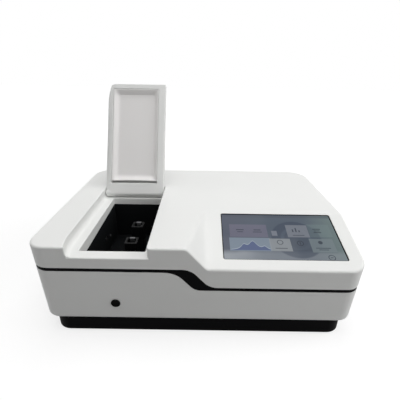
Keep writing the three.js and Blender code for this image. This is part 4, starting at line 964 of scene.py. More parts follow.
def opened(points):
    """Points of the closed lid turned open: y = hinge + dy cos + dz sin,
    z = hinge - dy sin + dz cos."""
    c, s = math.cos(lid_angle), math.sin(lid_angle)
    y, z = points[:, 1] - hinge_y, points[:, 2] - hinge_level
    return np.column_stack([points[:, 0], hinge_y + y * c + z * s, hinge_level - y * s + z * c])


def soft_step(share):
    """A soft step from 0 to 1: s^2 (3 - 2 s)."""
    share = np.clip(share, 0, 1)
    return share * share * (3 - 2 * share)


def lid_section(front_gap, inset):
    """The lid's outline in x and z at a distance behind its front, drawn in by an inset.

    It is a rectangle with three tight corners and a broad one, w (1 - cos^p), h (1 - sin^p). The
    top is lowered by the rolled front edge, drop = R - sqrt(R^2 - (R - gap)^2), and the underside
    rises by a soft step towards the heel, to meet the barrel.
    """
    bend_share = np.clip((bay_squeeze_length - front_gap) / bay_squeeze_length, 0, 1)
    near = max(0.0, front_roll - front_gap)
    drop = front_roll - math.sqrt(front_roll ** 2 - near ** 2)
    left, right = lid_left + inset + bay_squeeze * bend_share ** 2, lid_right - inset
    low, high = lid_low + inset, lid_high - max(drop, inset)
    broad, tight, small = rim_width - inset, side_roll - inset, top_roll - inset

    def corner(x, z, radius, start):
        a = np.radians(np.linspace(start, start + 90, 6))
        return np.column_stack([x + radius * np.cos(a), z + radius * np.sin(a)])

    a = np.linspace(0, math.pi / 2, 14)
    broad_x = broad * (1 - np.cos(a) ** rim_power)
    broad_z = rim_height * (1 - np.sin(a) ** rim_power)
    under = np.linspace(left + broad, right - tight, 24)[1:-1]
    over = np.linspace(right - small, left + small, 6)[1:-1]
    x, z = np.vstack([
        np.column_stack([under, 0 * under + low]),
        corner(right - tight, low + tight, tight, 270),
        corner(right - small, high - small, small, 0),
        np.column_stack([over, 0 * over + high]),
        corner(left + small, high - small, small, 90),
        np.column_stack([left + broad_x, low + broad_z]),
    ]).T
    rise = heel_rise * soft_step((front_gap - heel_start) / (lid_heel + half_depth - heel_start))
    z = z + rise * np.clip(1 - (z - low) / (0.5 * (high - low)), 0, 1)
    lean = draw_in(z) * np.clip(1 - front_gap / lean_run, 0, 1)
    return np.column_stack([x, front_gap - half_depth + lean, z])


def lid_form():
    """The closed lid as sections from its front to its heel, both ends rounded by the edge roll."""
    a = np.radians(np.linspace(90, 0, 5))
    near, far = edge_roll * (1 - np.sin(a)), edge_roll * (1 - np.cos(a))
    heel = lid_heel + half_depth
    gaps = np.concatenate([
        near, [0.0013, 0.0018, 0.0024, 0.003, 0.006, 0.010, 0.015, 0.020, 0.025, 0.030, 0.036],
        [0.06, 0.09, 0.12, 0.15, 0.18], np.linspace(heel_start, heel - edge_roll, 9),
        heel - far[1:],
    ])
    insets = np.concatenate([far, np.zeros(25), near[1:]])
    return solid("lid_shell_skin", [lid_section(*place) for place in zip(gaps, insets)])


def recess_cut():
    """The recess in the lid's underside, with a small rolled lip."""
    a, below_lid = np.radians([30, 60, 90]), 0.12
    levels = [below_lid, lid_low, *(lid_low + recess_lip * np.sin(a)), recess_top]
    grows = [recess_lip, recess_lip, *(recess_lip * (1 - np.sin(a))), 0.0]
    return solid("recess", [
        grown_ring(recess_left, recess_right, recess_front, recess_back, recess_corner, grow, level)
        for level, grow in zip(levels, grows)
    ])


def barrel_form():
    """The hinge barrel: a turned rod whose ends are rounded, r = R - e (1 - sin a)."""
    a, length = np.radians(np.linspace(0, 90, 8)), lid_right - lid_left
    radius, height = barrel_radius - barrel_end * (1 - np.sin(a)), barrel_end * (1 - np.cos(a))
    profile = np.column_stack([
        np.concatenate([[0], radius, radius[::-1], [0]]),
        np.concatenate([[0], height, (length - height)[::-1], [length]]),
    ])
    return turned("barrel", profile, (lid_left, hinge_y, hinge_level), (1, 0, 0), 64)


lid = carve(carve(lid_form(), recess_cut()), barrel_form(), operation="UNION")
carve(lid, *[
    pin_cut(end - lid_pin_depth, end + lid_pin_depth, lid_pin_radius)
    for end in (lid_left, lid_right)
])
dress(bend(lid, opened), white, "lid", ["lid_shell"])

# Lid liner. A thin warm-white tray clipped into the lid's recess. Its floor is dished by soft ramps
# from all four sides, a broad one at the left, and three studs stand between it and the lid.
liner = moulded("liner_plastic", (0.83, 0.815, 0.805), 0.5, 0.0007, 0.000012)
tray_low, tray_top, tray_dish, tray_lip = 0.139, 0.147, 0.006, 0.0012
tray_left, tray_right = recess_left + fit_gap, recess_right - fit_gap
tray_front, tray_back = recess_front + fit_gap, recess_back - 0.004
tray_bow, tray_roll = 0.0009, 0.0008
ramp_lengths = (0.0105, 0.0065, 0.010, 0.008)
stud_radius, stud_low, stud_length = 0.0035, 0.146, 0.0057


def liner_tray():
    """The tray's underside, z = low + dish x soft ramps from its lip, rolled at its rim, with
    plain sides up to a flat top. Its back edge bows in by 4 bow u (1 - u)."""
    edge, plain = np.array([0, 0.0002, 0.0005, 0.0008, 0.0012]), 0.002
    width, length = tray_right - tray_left, tray_back - tray_front
    u = np.concatenate([edge, np.linspace(plain, width - plain, 42), width - edge[::-1]])
    v = np.concatenate([edge, np.linspace(plain, length - plain, 46), length - edge[::-1]]) / length
    x, across = tray_left + u, u / width
    back = tray_back - tray_bow * 4 * across * (1 - across)
    x = np.broadcast_to(x, (len(v), len(x)))
    y = tray_front + v[:, None] * (back - tray_front)
    sides = (x - tray_left, tray_right - x, y - tray_front, back - y)
    depth = tray_dish
    for distance, ramp_length in zip(sides, ramp_lengths):
        depth = depth * soft_step((distance - tray_lip) / ramp_length)
    rim = np.clip(1 - np.minimum.reduce(sides) / tray_roll, 0, 1)
    under = np.dstack([x, y, tray_low + depth + tray_roll * (1 - np.sqrt(1 - rim ** 2))])
    edge_ring = border(under)
    top = lifted(edge_ring, tray_top)
    skin = Skin().grid(under).grid([edge_ring, top], closed=True).cap(top)
    return put("lid_liner_skin", skin.mesh("lid_liner_skin"))


stud_x = (bay_left + bay_right) / 2
stud_front, stud_back = 0.03 - half_depth, hinge_y - 0.0485
studs = [
    rod("stud", stud_radius, stud_length, (stud_x, y, stud_low), sides=20)
    for y in (stud_front, (stud_front + stud_back) / 2, stud_back)
]
tray = carve(liner_tray(), *studs, operation="UNION")
dress(bend(tray, opened), liner, "lid", ["lid_liner"])

# Hinge pins. Two ground steel pins with broken edges, pressed into the top cover on either side of
# the barrel that they carry.


def metal(name, color, roughness, streak, depth, metallic=1.0, wear=0.12, specular=0.5):
    """Rolled or ground metal: fine lines drawn out along X by the factor streak, and smears."""
    material, place, shader = new_material(name)
    shader.inputs["Metallic"].default_value = metallic
    shader.inputs["Specular IOR Level"].default_value = specular
    stretched = place.node("Mapping", {}, {"Vector": place, "Scale": (1 / streak, 1.0, 1.0)})
    lines = place.node(
        "TexNoise", {}, {"Vector": stretched, "Scale": 900.0, "Detail": 3.0, "Roughness": 0.7}
    )
    smears = place.node("TexNoise", {}, {"Vector": place, "Scale": 30.0, "Detail": 4.0})
    dark = tuple((1 - wear) * c for c in color) + (1,)
    (lines * 0.5 + smears * 0.5).mix(dark, tuple(color) + (1,)).into(shader, "Base Color")
    (smears * 0.18 + lines * 0.1 + (roughness - 0.14)).into(shader, "Roughness")
    relief = place.node("Bump", {}, {"Strength": 0.4, "Distance": depth, "Height": lines})
    relief.into(shader, "Normal")
    return material


bright = metal("bright_steel", (0.66, 0.66, 0.67), 0.28, 9.0, 0.00001)
pin_radius, pin_edge, pin_length, pin_proud = 0.002, 0.0004, 0.0134, 0.004
pin_starts = {"left": bay_left - pin_proud, "right": bay_right + pin_proud - pin_length}
for side, pin_left in pin_starts.items():
    profile = [
        (0, 0), (pin_radius - pin_edge, 0), (pin_radius, pin_edge),
        (pin_radius, pin_length - pin_edge), (pin_radius - pin_edge, pin_length), (0, pin_length),
    ]
    base = (pin_left, hinge_y, hinge_level)
    pin = turned("hinge_pin_%s_skin" % side, profile, base, (1, 0, 0), 28)
    dress(pin, bright, "housing", ["hinge_pin_" + side])

# Front port plug. A turned black rubber bung with a ringed face, pushed into the round port in the
# front wall, with a small bead behind its flange.
plug_profile = [
    (0, -0.0015), (0.0034, -0.0015), (0.0041, -0.0018), (0.0056, -0.0019), (0.0064, -0.0017),
    (0.0068, -0.0012), (0.0068, -0.0003), (0.0054, -0.0003), (0.0054, 0.0034), (0.0051, 0.0038),
    (0.0054, 0.0042), (0.0054, 0.0084), (0.0048, 0.009), (0, 0.009),
]
plug = turned("port_plug_skin", plug_profile, port_place, port_axis, 48)
dress(plug, rubber, "plug", ["port_plug"])

# Touch screen. A glass-faced display under the window in the slope, held by a dark gasket whose wider
# top and right bands are also painted shade for the window's recess; its picture is a plain layout of
# tiles with bars, rings and a spectrum curve, over a broad dark ring.
glass_top, glass_thickness, glass_roll = -0.0012, 0.0025, 0.0004


def screen_picture():
    """The display's picture: a = across and b = up the slope, from its middle, in millimetres."""
    material, place, shader = new_material("screen_glass")
    x, y, z = (place.node("SeparateXYZ", {}, {0: place}, axis) for axis in "XYZ")
    up_y, up_z = math.cos(slope_angle), math.sin(slope_angle)
    a = (x - screen_x) * 1000.0
    b = ((y - screen_y) * up_y + (z - screen_level) * up_z) * 1000.0

    def tile(cx, cy, width, height, blur=0.25):
        return (abs(a - cx) - width / 2).higher(abs(b - cy) - height / 2).under(0.0, blur)

    def distance(cx, cy):
        return ((a - cx) * (a - cx) + (b - cy) * (b - cy)).math("SQRT")

    def hoop(cx, cy, radius, thickness, blur=0.2):
        return abs(distance(cx, cy) - radius).under(thickness / 2, blur)

    def bell(centre, width, height):
        """A spectrum's peak: height / (1 + ((a - centre) / width)^2)."""
        off = (a - centre) * (1 / width)
        return height * (off * off + 1.0).math("POWER", -1.0)

    # The soft ground, paler at its foot, with the broad dark disc and its ring
    ground_left, ground_middle = (0.105, 0.118, 0.158, 1), (0.105, 0.130, 0.168, 1)
    ground_right, ground_foot = (0.165, 0.215, 0.220, 1), (0.36, 0.39, 0.425, 1)
    cloud = place.node("TexNoise", {}, {"Vector": place, "Scale": 26.0, "Detail": 2.0})
    west = (a + cloud * 40.0).under(-35.0, 45.0)
    east = 1.0 - (a + cloud * 30.0).under(75.0, 32.0)
    foot = (b + cloud * 8.0).under(-28.0, 6.0)
    picture = east.mix(west.mix(ground_middle, ground_left), ground_right)
    picture = (foot * (0.35 + west * 0.65)).mix(picture, ground_foot)
    disc = distance(24.0, -6.0).under(38.0, 1.6)
    picture = (disc * 0.62).mix(picture, (0.058, 0.075, 0.112, 1))
    picture = (hoop(24.0, -6.0, 21.0, 5.0, 1.2) * 0.35).mix(picture, (0.12, 0.15, 0.2, 1))

    # Eight tiles (centre, size, strength, tone), each with a dark line along its foot
    for cx, cy, width, height, share, tone in (
        (-48.0, 10.0, 59.0, 28.0, 0.75, (0.175, 0.170, 0.235, 1)),
        (-8.0, 5.0, 8.5, 11.0, 0.7, (0.26, 0.28, 0.33, 1)),
        (29.0, 10.5, 34.0, 27.0, 0.7, (0.245, 0.265, 0.305, 1)),
        (64.0, 11.5, 35.0, 29.0, 0.25, (0.22, 0.30, 0.30, 1)),
        (-48.0, -18.5, 62.0, 27.0, 0.8, (0.24, 0.30, 0.37, 1)),
        (-2.5, -18.8, 32.0, 25.5, 0.8, (0.30, 0.325, 0.345, 1)),
        (27.8, -17.4, 28.5, 25.5, 0.5, (0.085, 0.105, 0.135, 1)),
        (60.5, -19.3, 36.0, 28.0, 0.75, (0.20, 0.245, 0.265, 1)),
    ):
        picture = (tile(cx, cy, width, height) * share).mix(picture, tone)
        line = tile(cx, cy - height / 2 + 0.5, width, 1.0)
        picture = (line * 0.35).mix(picture, (0.06, 0.075, 0.1, 1))

    # The spectrum: a filled curve of three peaks, with a pale line over it
    graph = tile(-48.0, -18.5, 58.0, 23.0)
    curve = bell(-58.0, 5.0, 9.0) + bell(-44.0, 7.0, 17.0) + bell(-27.0, 4.0, 6.0) - 30.0
    filled = (b - curve).under(0.0, 0.4) * graph
    picture = (filled * 0.85).mix(picture, (0.075, 0.105, 0.235, 1))
    crest = abs(b - curve).under(0.5, 0.3) * graph
    picture = (crest * 0.8).mix(picture, (0.5, 0.56, 0.62, 1))

    # Small dark marks: bars, hoops and one dot
    marks = distance(58.5, -13.0).under(3.4, 0.3)
    for bar in (
        (-61.0, 12.0, 12.0, 2.0), (-61.0, 7.5, 9.0, 1.6), (-34.0, 12.0, 11.0, 2.0),
        (-34.0, 7.5, 14.0, 1.6), (-2.5, -25.5, 18.0, 1.4), (22.0, 11.5, 2.2, 6.0),
        (27.0, 13.0, 2.2, 9.0), (32.0, 10.5, 2.2, 4.0), (29.0, 1.6, 18.0, 1.3),
        (27.8, -15.0, 1.4, 6.0), (60.0, 15.5, 12.0, 1.8), (60.0, 11.8, 9.0, 1.8),
        (60.0, 8.1, 12.0, 1.8), (67.0, -42.2, 4.0, 1.2), (60.0, -24.2, 22.0, 1.3),
        (60.0, -27.5, 14.0, 1.3),
    ):
        marks = marks + tile(*bar)
    for ring in ((-2.5, -13.5, 4.2, 1.2), (27.8, -15.0, 4.6, 1.4), (67.0, -42.2, 4.6, 1.2)):
        marks = marks + hoop(*ring)
    picture = (marks.lower(1.0) * 0.8).mix(picture, (0.04, 0.05, 0.07, 1))

    # The title strip, and the black border round the picture: partly the display's own mask, partly
    # painted shade for the shadow of the window's recess along the glass's edge
    picture = (tile(0.0, 43.5, 176.0, 5.0, 0.8) * 0.5).mix(picture, (0.085, 0.095, 0.12, 1))
    edge = 1.0 - tile(0.0, 0.0, 177.0, 94.5, 0.3)
    picture = edge.mix(picture, (0.012, 0.012, 0.014, 1))
    picture.into(shader, "Emission Color")
    shader.inputs["Emission Strength"].default_value = 0.52
    shader.inputs["Specular IOR Level"].default_value = 0.12
    dimmed = {"data_type": "RGBA", "blend_type": "MULTIPLY"}
    place.node("Mix", dimmed, {0: 1.0, 6: picture, 7: (0.32, 0.32, 0.32, 1)}, output=2).into(
        shader, "Base Color"
    )
    smudge = place.node(
        "TexNoise", {}, {"Vector": place, "Scale": 45.0, "Detail": 4.0, "Distortion": 0.6}
    )
    (smudge * 0.12 + 0.04).into(shader, "Roughness")
    relief = place.node("Bump", {}, {"Strength": 0.05, "Distance": 0.00001, "Height": smudge})
    relief.into(shader, "Normal")
    return material


def glass_form():
    """A slab on the slope, its upper edge a quarter circle: drawn in by roll (1 - cos a) at
    roll (1 - sin a) below its top."""
    rings = [window_ring(-fit_gap, glass_top - glass_thickness)]
    for a in np.radians(np.linspace(0, 90, 4)):
        inset = fit_gap + glass_roll * (1 - math.cos(a))
        rings.append(window_ring(-inset, glass_top - glass_roll * (1 - math.sin(a))))
    return solid("screen_glass_skin", rings)


def gasket_form(name, margins, corner, levels):
    """A slab on the slope, inside the window by margins at its left, right, front and back."""
    left, right, front, back = margins
    return solid(name, [
        on_slope(rounded_ring(
            left - screen_half_width, screen_half_width - right,
            front - screen_half_length, screen_half_length - back, corner, level,
        ))
        for level in levels
    ])


dress(glass_form(), screen_picture(), "housing", ["screen_glass"])
# The gasket is a real dark rubber frame, but its wider top and right bands are painted shade: they
# stand for the shadow that the window's recess casts on the glass's edge.
gasket_levels = (glass_top + 0.00005, -0.0005)
gasket_with_painted_shade = gasket_form("screen_gasket_with_painted_shade", (0.0001,) * 4, 0.0029, gasket_levels)
carve(gasket_with_painted_shade, gasket_form("room", (0.0009, 0.0013, 0.0004, 0.0013), 0.0022, (-0.01, 0.01)))
dress(gasket_with_painted_shade, rubber, "housing", [])

# Sample well. A folded tub painted matt black, open at the top below the skirt, with two beam
# windows in its right wall, two detector openings in its left one, and a small screw.


def finished(node, material, width):
    """A copy of a CAD node with its doubles merged and its edges broken by a small bevel."""
    source = frame["nodes"][node]
    mesh = bpy.data.meshes.new(node + "_skin")
    shape = bmesh.new()
    shape.from_mesh(source.data)
    bmesh.ops.remove_doubles(shape, verts=shape.verts, dist=2e-6)
    bmesh.ops.dissolve_limit(
        shape, angle_limit=math.radians(0.6), verts=shape.verts, edges=shape.edges
    )
    shape.to_mesh(mesh)
    shape.free()
    piece = put(node + "_skin", mesh)
    if width:
        bevel = piece.modifiers.new("bevel", "BEVEL")
        bevel.width, bevel.segments = width, 2
        bevel.limit_method, bevel.angle_limit = "ANGLE", math.radians(32)
    return dress(piece, material, source["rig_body"], [node])


well_black = moulded(
    "well_black", (0.0042, 0.0048, 0.0054), 0.75, 0.0007, 0.00004, specular=0.08, drift=0.3
)
# A darker copy of the bright steel, partly blackened spring steel and partly painted shade of the
# deep well in which the springs and the screw sit.
blackened_steel_and_painted_shade = metal("blackened_steel_and_painted_shade", (0.13, 0.13, 0.135), 0.42, 5.0, 0.00001, wear=0.3)
finished("sample_well", well_black, 0.0005)
wall_screw = screw("well_screw", (well_left, -0.010, 0.0804), (1, 0, 0), 0.0028, 0.0014)
dress(wall_screw, blackened_steel_and_painted_shade, "housing", [])

# Beam windows. Two fused quartz discs pressed into the well's right wall, through which the two
# beams come in.


def clear(name, color, roughness, ior):
    """Clear glass or fused quartz with a faint haze of handling marks."""
    material, place, shader = new_material(name)
    shader.inputs["IOR"].default_value = ior
    shader.inputs["Transmission Weight"].default_value = 0.92
    haze = place.node("TexNoise", {}, {"Vector": place, "Scale": 120.0, "Detail": 4.0})
    dull = tuple(0.97 * c for c in color) + (1,)
    haze.mix(dull, tuple(color) + (1,)).into(shader, "Base Color")
    (haze * 0.06 + roughness).into(shader, "Roughness")
    return material


quartz = clear("quartz", (0.93, 0.96, 0.97), 0.02, 1.46)
for side in ("front", "rear"):
    finished("beam_window_" + side, quartz, 0.0003)

# Cell holders. Two square black anodised posts with a socket for a 12.5 mm cell, its mouth
# chamfered, and a beam hole through them. A bent leaf spring in each presses the cell home.
holder_black = metal(
    "holder_black", (0.004, 0.0042, 0.0046), 0.45, 4.0, 0.00001, metallic=0.0, wear=0.35,
    specular=0.14,
)
holder_x, holder_low, holder_top, holder_half = -0.1106, 0.0566, 0.118, 0.010
holder_rows = {"front": -0.088, "rear": -0.033}
holder_corner, socket_corner, top_corner, mouth_corner = 0.0012, 0.0006, 0.0008, 0.001
socket_half, socket_floor, mouth_chamfer = 0.0064, 0.072, 0.0008
beam_level, beam_radius, beam_length = 0.088, 0.004, 0.03
spring_thick, spring_half, spring_reach, spring_drop = 0.0006, 0.004, 0.003, 0.026
spring_bow, spring_turn, spring_gap, spring_lead = 0.0014, 0.0007, 0.0003, 0.0004


def holder(name, y):
    """The post from its foot to its chamfered top, less the socket and the beam hole."""
    def square(half, radius, level):
        return rounded_ring(holder_x - half, holder_x + half, y - half, y + half, radius, level)

    edge, over = mouth_chamfer / 2, mouth_chamfer / 2
    body = solid(name, [
        square(holder_half, holder_corner, holder_low),
        square(holder_half, holder_corner, holder_top - edge),
        square(holder_half - edge, top_corner, holder_top),
    ])
    room = solid("room", [
        square(socket_half, socket_corner, socket_floor),
        square(socket_half, socket_corner, holder_top - mouth_chamfer),
        square(socket_half + mouth_chamfer + over, mouth_corner, holder_top + over),
    ])
    start = (holder_x - beam_length / 2, y, beam_level)
    return carve(body, room, rod("beam", beam_radius, beam_length, start, (1, 0, 0)))


def spring(name, y):
    """A leaf spring as a strip along a path in y and z: it hooks over the rim, then bows into the
    socket by bow sin(pi s), with s from hook to tip; its width tapers in to the tip."""
    back, top = y + socket_half - spring_gap, holder_top + spring_gap
    half_thick = spring_thick / 2
    s, a = np.linspace(0, 1, 26)[1:], np.linspace(0, math.pi / 2, 7)
    hook_y = back + spring_reach * (1 - np.linspace(0, 0.75, 5))
    turn_y = back + spring_lead - spring_turn * np.sin(a)
    turn_z = top + half_thick - spring_turn * (1 - np.cos(a))
    leaf_y = back - half_thick - spring_bow * np.sin(math.pi * s)
    leaf_z = top - spring_lead - (spring_drop - spring_lead) * s
    path = np.vstack([
        np.column_stack([hook_y, np.full(5, top + half_thick)]),
        np.column_stack([turn_y, turn_z]), np.column_stack([leaf_y, leaf_z]),
    ])
    step = np.gradient(path, axis=0)
    step /= np.linalg.norm(step, axis=1)[:, None]
    aside = np.column_stack([-step[:, 1], step[:, 0]]) * half_thick
    run = np.linspace(0, 1, len(path))
    half = spring_half * (1 - 0.25 * np.clip((run - 0.7) / 0.3, 0, 1) ** 2)
    corners = ((-1, 1), (1, 1), (1, -1), (-1, -1))
    return solid(name, np.stack([
        np.column_stack([holder_x + half * across, path + out * aside]) for across, out in corners
    ], 1))


for side, y in holder_rows.items():
    post = holder("cell_holder_%s_skin" % side, y)
    dress(post, holder_black, "housing", ["cell_holder_" + side])
    leaf = spring("holder_spring_%s_skin" % side, y)
    dress(leaf, blackened_steel_and_painted_shade, "housing", ["holder_spring_" + side])

# Rear panel. A zinc-plated sheet fills the rear window of the lower case and carries the fan behind
# its punched grille, the mains inlet, the power switch and the data ports. Four small screws hold
# it at its corners, and four more hold the fan.
panel_out = -0.0012
outward = (0, math.cos(wall_lean), -math.sin(wall_lean))
fan_x, fan_screw_reach = -0.150, 0.025
panel_head_radius, fan_head_radius, head_rise = 0.0021, 0.0026, 0.0011
finished("rear_panel", zinc, 0.0003)


def rear_point(across, out, up):
    """One point of the rear wall's frame."""
    return tuple(on_rear([(across, out, up)])[0])


panel_screws = [(x, up) for x in (-0.1863, -0.0457) for up in (-0.0302, 0.0302)]
fan_screws = [
    (fan_x + dx, up) for dx in (-fan_screw_reach, fan_screw_reach)
    for up in (-fan_screw_reach, fan_screw_reach)
]
for kind, places, head_radius in (
    ("panel", panel_screws, panel_head_radius), ("fan", fan_screws, fan_head_radius),
):
    for number, (x, up) in enumerate(places):
        name = "%s_screw_%d" % (kind, number)
        bolt = screw(name, rear_point(x, panel_out, up), outward, head_radius, head_rise)
        dress(bolt, zinc, "housing", [])

# Cooling fan. A square moulded frame with a round bore and a four-armed back, and a rotor of seven
# twisted blades on a round hub, both of matt black plastic; four screws hold it from outside.
matt = moulded("matt_black", (0.005, 0.005, 0.006), 0.7, 0.0008, 0.00005, specular=0.1, drift=0.3)
finished("fan_frame", matt, 0.0004)
fan_blades, fan_hub, fan_tip, axle_hole = 7, 0.0108, 0.026, 0.0024
fan_low, fan_high = -0.0142, -0.0038
hub_pitch, tip_pitch = math.radians(50), math.radians(32)
hub_chord, tip_chord, blade_camber, blade_thick = 0.0065, 0.0100, 0.0012, 0.0006
blade_bite, hub_roll, hub_bevel = 0.0008, 0.0012, 0.0004


def fan_blade(turn):
    """A blade as rings round its section, from root to tip. At radius r and chord share s it lies
    at angle turn + (c s cos p - k sin p) / r and depth m + c s sin p + k cos p, with p its pitch
    and k its camber."""
    r = np.linspace(fan_hub - blade_bite, fan_tip, 9)[:, None]
    share = (r - fan_hub) / (fan_tip - fan_hub)
    pitch = hub_pitch + (tip_pitch - hub_pitch) * share
    chord = hub_chord + (tip_chord - hub_chord) * share
    chord = np.minimum(chord, 0.44 * (fan_high - fan_low) / np.sin(pitch))
    a = np.linspace(0, 2 * math.pi, 20, endpoint=False)[None]
    s = np.cos(a)
    k = blade_camber * (1 - s * s) - blade_camber / 2 + blade_thick * np.sin(a)
    angle = turn + (chord * s * np.cos(pitch) - k * np.sin(pitch)) / r
    depth = (fan_low + fan_high) / 2 + chord * s * np.sin(pitch) + k * np.cos(pitch)
    return np.stack([fan_x + r * np.cos(angle), depth, r * np.sin(angle)], axis=-1)


rotor = Skin()
for turn in np.arange(fan_blades) * 2 * math.pi / fan_blades:
    rotor.tube([on_rear(ring) for ring in fan_blade(turn)])
hub_section = [
    (axle_hole, fan_low), (fan_hub, fan_low), (fan_hub, fan_high - hub_roll),
    (fan_hub - hub_bevel, fan_high - hub_bevel), (fan_hub - hub_roll, fan_high),
    (axle_hole, fan_high),
]
t = np.linspace(0, 2 * math.pi, 40, endpoint=False)
rotor.grid([
    on_rear(np.column_stack([fan_x + r * np.cos(t), 0 * t + out, r * np.sin(t)]))
    for r, out in [*hub_section, hub_section[0]]
], closed=True)
dress(put("fan_rotor_skin", rotor.mesh("fan_rotor_skin")), matt, "fan", ["fan_rotor"])

# Mains inlet. A flanged black body that is pushed into its window in the panel, and three
# nickel-plated blades with chamfered tips in its socket.
inlet_x, low_row, high_row = -0.093, -0.016, 0.020
blade_places = ((-0.007, -0.002), (0, 0.002), (0.007, -0.002))
blade_root, blade_shoulder, blade_tip = -0.0125, -0.0027, -0.00185


def rounded_outline(corners, radius):
    """A convex outline, counter-clockwise, with rounded corners. The centre of each arc is the
    corner drawn in by r (n1 + n2) / (1 + n1.n2), with n1 and n2 the normals that meet there."""
    corners = np.asarray(corners, float)
    along = np.roll(corners, -1, 0) - corners
    along = along / np.linalg.norm(along, axis=1)[:, None]
    after = np.column_stack([along[:, 1], -along[:, 0]])
    before = np.roll(after, 1, 0)
    centre = corners - radius * (before + after) / (1 + (before * after).sum(1))[:, None]
    t = np.linspace(0, 1, 5)[None, :, None]
    ray = (1 - t) * before[:, None] + t * after[:, None]
    ray = ray / np.linalg.norm(ray, axis=2)[..., None]
    return (centre[:, None] + radius * ray).reshape(-1, 2)


def standing(name, sections):
    """A solid on the rear wall through (out, corners, radius) sections, all rounded outlines."""
    rings = []
    for out, corners, radius in sections:
        x, up = rounded_outline(corners, radius).T
        rings.append(on_rear(np.column_stack([x, 0 * x + out, up])))
    return solid(name, rings)


def tapered(x, up, half_low, half_high, half_up):
    """The corners of an upright trapezium: half widths at its foot and its head, half height."""
    low, high = up - half_up, up + half_up
    return [(x - half_low, low), (x + half_low, low), (x + half_high, high), (x - half_high, high)]


finished("power_inlet", matt, 0.0005)
for number, (dx, rise) in enumerate(blade_places):
    x, up = inlet_x + dx, low_row + rise
    full, tip = tapered(x, up, 0.00106, 0.00106, 0.00206), tapered(x, up, 0.0006, 0.0006, 0.0014)
    blade = standing("inlet_blade_%d" % number, [
        (blade_root, full, 0.0003), (blade_shoulder, full, 0.0003), (blade_tip, tip, 0.0002)
    ])
    dress(blade, bright, "housing", [])

# Power switch. A black rimmed frame is snapped into its window beside the inlet, and the rocker
# tips on a bar across it.
finished("switch_frame", matt, 0.0005)
finished("power_rocker", rubber, 0.0006)

# Data ports. A nine-pole socket, whose black insert sits in a plated shell between two hexagonal
# nuts, and a square socket of folded steel.
finished("serial_port", zinc, 0.0003)
finished("usb_port", bright, 0.0003)
shell_out, pole_pitch, pole_rise = panel_out + 0.003, 0.0042, 0.0018
pole_radius, pole_depth, pole_length = 0.0009, 0.0008, 0.003
nut_reach, nut_out = 0.0161, 0.0015
insert_full = tapered(inlet_x, high_row, 0.0108, 0.0134, 0.0044)
insert_face = tapered(inlet_x, high_row, 0.0106, 0.0132, 0.0042)
insert = standing("serial_insert", [
    (shell_out - 0.001, insert_full, 0.0012), (shell_out + 0.0002, insert_full, 0.0012),
    (shell_out + 0.0004, insert_face, 0.001),
])
poles = [((k - 2) * pole_pitch, pole_rise) for k in range(5)]
poles += [((k - 1.5) * pole_pitch, -pole_rise) for k in range(4)]
carve(insert, *[
    rod("pole", pole_radius, pole_length,
        rear_point(inlet_x + dx, shell_out - pole_depth, high_row + up), outward, 14)
    for dx, up in poles
])
dress(insert, matt, "housing", [])
nut_section = [
    (0, 0), (0.0019, 0), (0.0019, 0.0009), (0.0016, 0.0012), (0.0009, 0.0012), (0.0009, 0.0005),
    (0, 0.0005),
]
for number, dx in enumerate((-nut_reach, nut_reach)):
    base = rear_point(inlet_x + dx, panel_out + nut_out, high_row)
    nut = turned("serial_nut_%d" % number, nut_section, base, outward, 6)
    dress(nut, bright, "housing", [], sharp=20)

# Display. A steel-backed panel lies under the glass, held by a folded zinc bracket that is screwed
# to the bosses of the top cover.
finished("display_panel", bright, 0.0004)
finished("display_bracket", zinc, 0.0003)

# Optical bench. One aluminium casting with the mounts of every optical piece cast on it, machined
# on top and screwed to the tall posts of the pan.
aluminium = metal("aluminium", (0.68, 0.69, 0.70), 0.38, 14.0, 0.00002)
finished("optical_bench", aluminium, 0.0006)

# Lamps. A folded steel house holds the tungsten lamp and the deuterium lamp, which are both
# clear glass bulbs.
lamp_glass = clear("lamp_glass", (0.95, 0.96, 0.96), 0.03, 1.5)
finished("lamp_house", zinc, 0.0004)
for bulb in ("tungsten_lamp", "deuterium_lamp"):
    finished(bulb, lamp_glass, 0.0002)

# Source changer. A small motor swings an aluminium arm, and the mirror cemented on it looks at one
# lamp or the other.
anodised = metal(
    "anodised_black", (0.03, 0.03, 0.033), 0.4, 4.0, 0.00001, metallic=0.7, wear=0.35
)
mirror_coat = metal("mirror_coat", (0.88, 0.89, 0.9), 0.15, 1.0, 0.000002, wear=0.03)
finished("source_mirror_motor", anodised, 0.0004)
finished("source_mirror_arm", aluminium, 0.0003)
finished("source_mirror", mirror_coat, 0.0002)

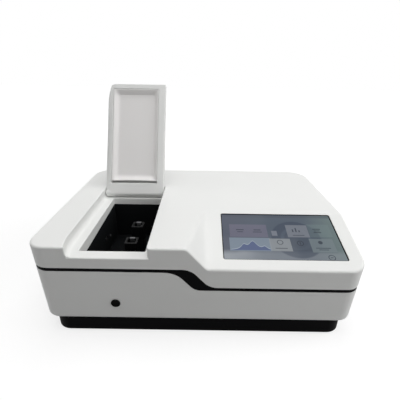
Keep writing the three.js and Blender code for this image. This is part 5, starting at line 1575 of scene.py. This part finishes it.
# Filter wheel. A black anodised disc of filters, pushed on the shaft of its steel-cased motor,
# turns one filter after another into the beam.
finished("filter_motor", bright, 0.0004)
finished("filter_wheel", anodised, 0.0003)

# Slits. Two black anodised plates, each with one narrow slot, stand in the beam before and after
# the grating.
for slit in ("entrance_slit", "exit_slit"):
    finished(slit, anodised, 0.0002)

# Mirrors. Coated glass blocks cemented to the bench's mounts turn the beam, and a quartz plate
# splits it in two.
for mirror in ("collimating_mirror", "focusing_mirror", "fold_mirror"):
    finished(mirror, mirror_coat, 0.0004)
finished("beam_splitter", quartz, 0.0002)

# Grating drive. A stepper motor's steel pinion turns the toothed sector of the aluminium turntable,
# which carries the ruled grating.
finished("grating_motor", anodised, 0.0004)
finished("grating_pinion", bright, 0)
finished("grating_table", aluminium, 0.0002)
finished("grating", mirror_coat, 0.0002)

# Detectors. Two photodiodes in steel cans look through the well's left wall, soldered to their
# own board.


def circuit(name, color):
    """A printed board: solder mask over a fine network of tracks, with scattered plated holes."""
    material, place, shader = new_material(name)
    tracks = place.node(
        "TexVoronoi", {"feature": "DISTANCE_TO_EDGE"}, {"Vector": place, "Scale": 160.0}, "Distance"
    )
    copper = tracks.under(0.05, 0.02)
    holes = place.node("TexVoronoi", {}, {"Vector": place, "Scale": 220.0}, "Distance")
    holes = holes.under(0.16, 0.02)
    mask = copper.mix(tuple(color) + (1,), tuple(min(1.0, 2.1 * c) for c in color) + (1,))
    holes.mix(mask, (0.62, 0.6, 0.52, 1)).into(shader, "Base Color")
    (0.42 - holes * 0.2).into(shader, "Roughness")
    relief = place.node("Bump", {}, {"Strength": 0.5, "Distance": 0.00003, "Height": copper})
    relief.into(shader, "Normal")
    return material


board_green = circuit("board_green", (0.012, 0.12, 0.05))
for can in ("detector_front", "detector_rear"):
    finished(can, bright, 0.0003)
finished("detector_board", board_green, 0.0002)

# Electronics. The main board and the supply in its folded zinc box are screwed to the posts of
# the base pan.
finished("main_board", board_green, 0.0002)
finished("power_supply", zinc, 0.0005)
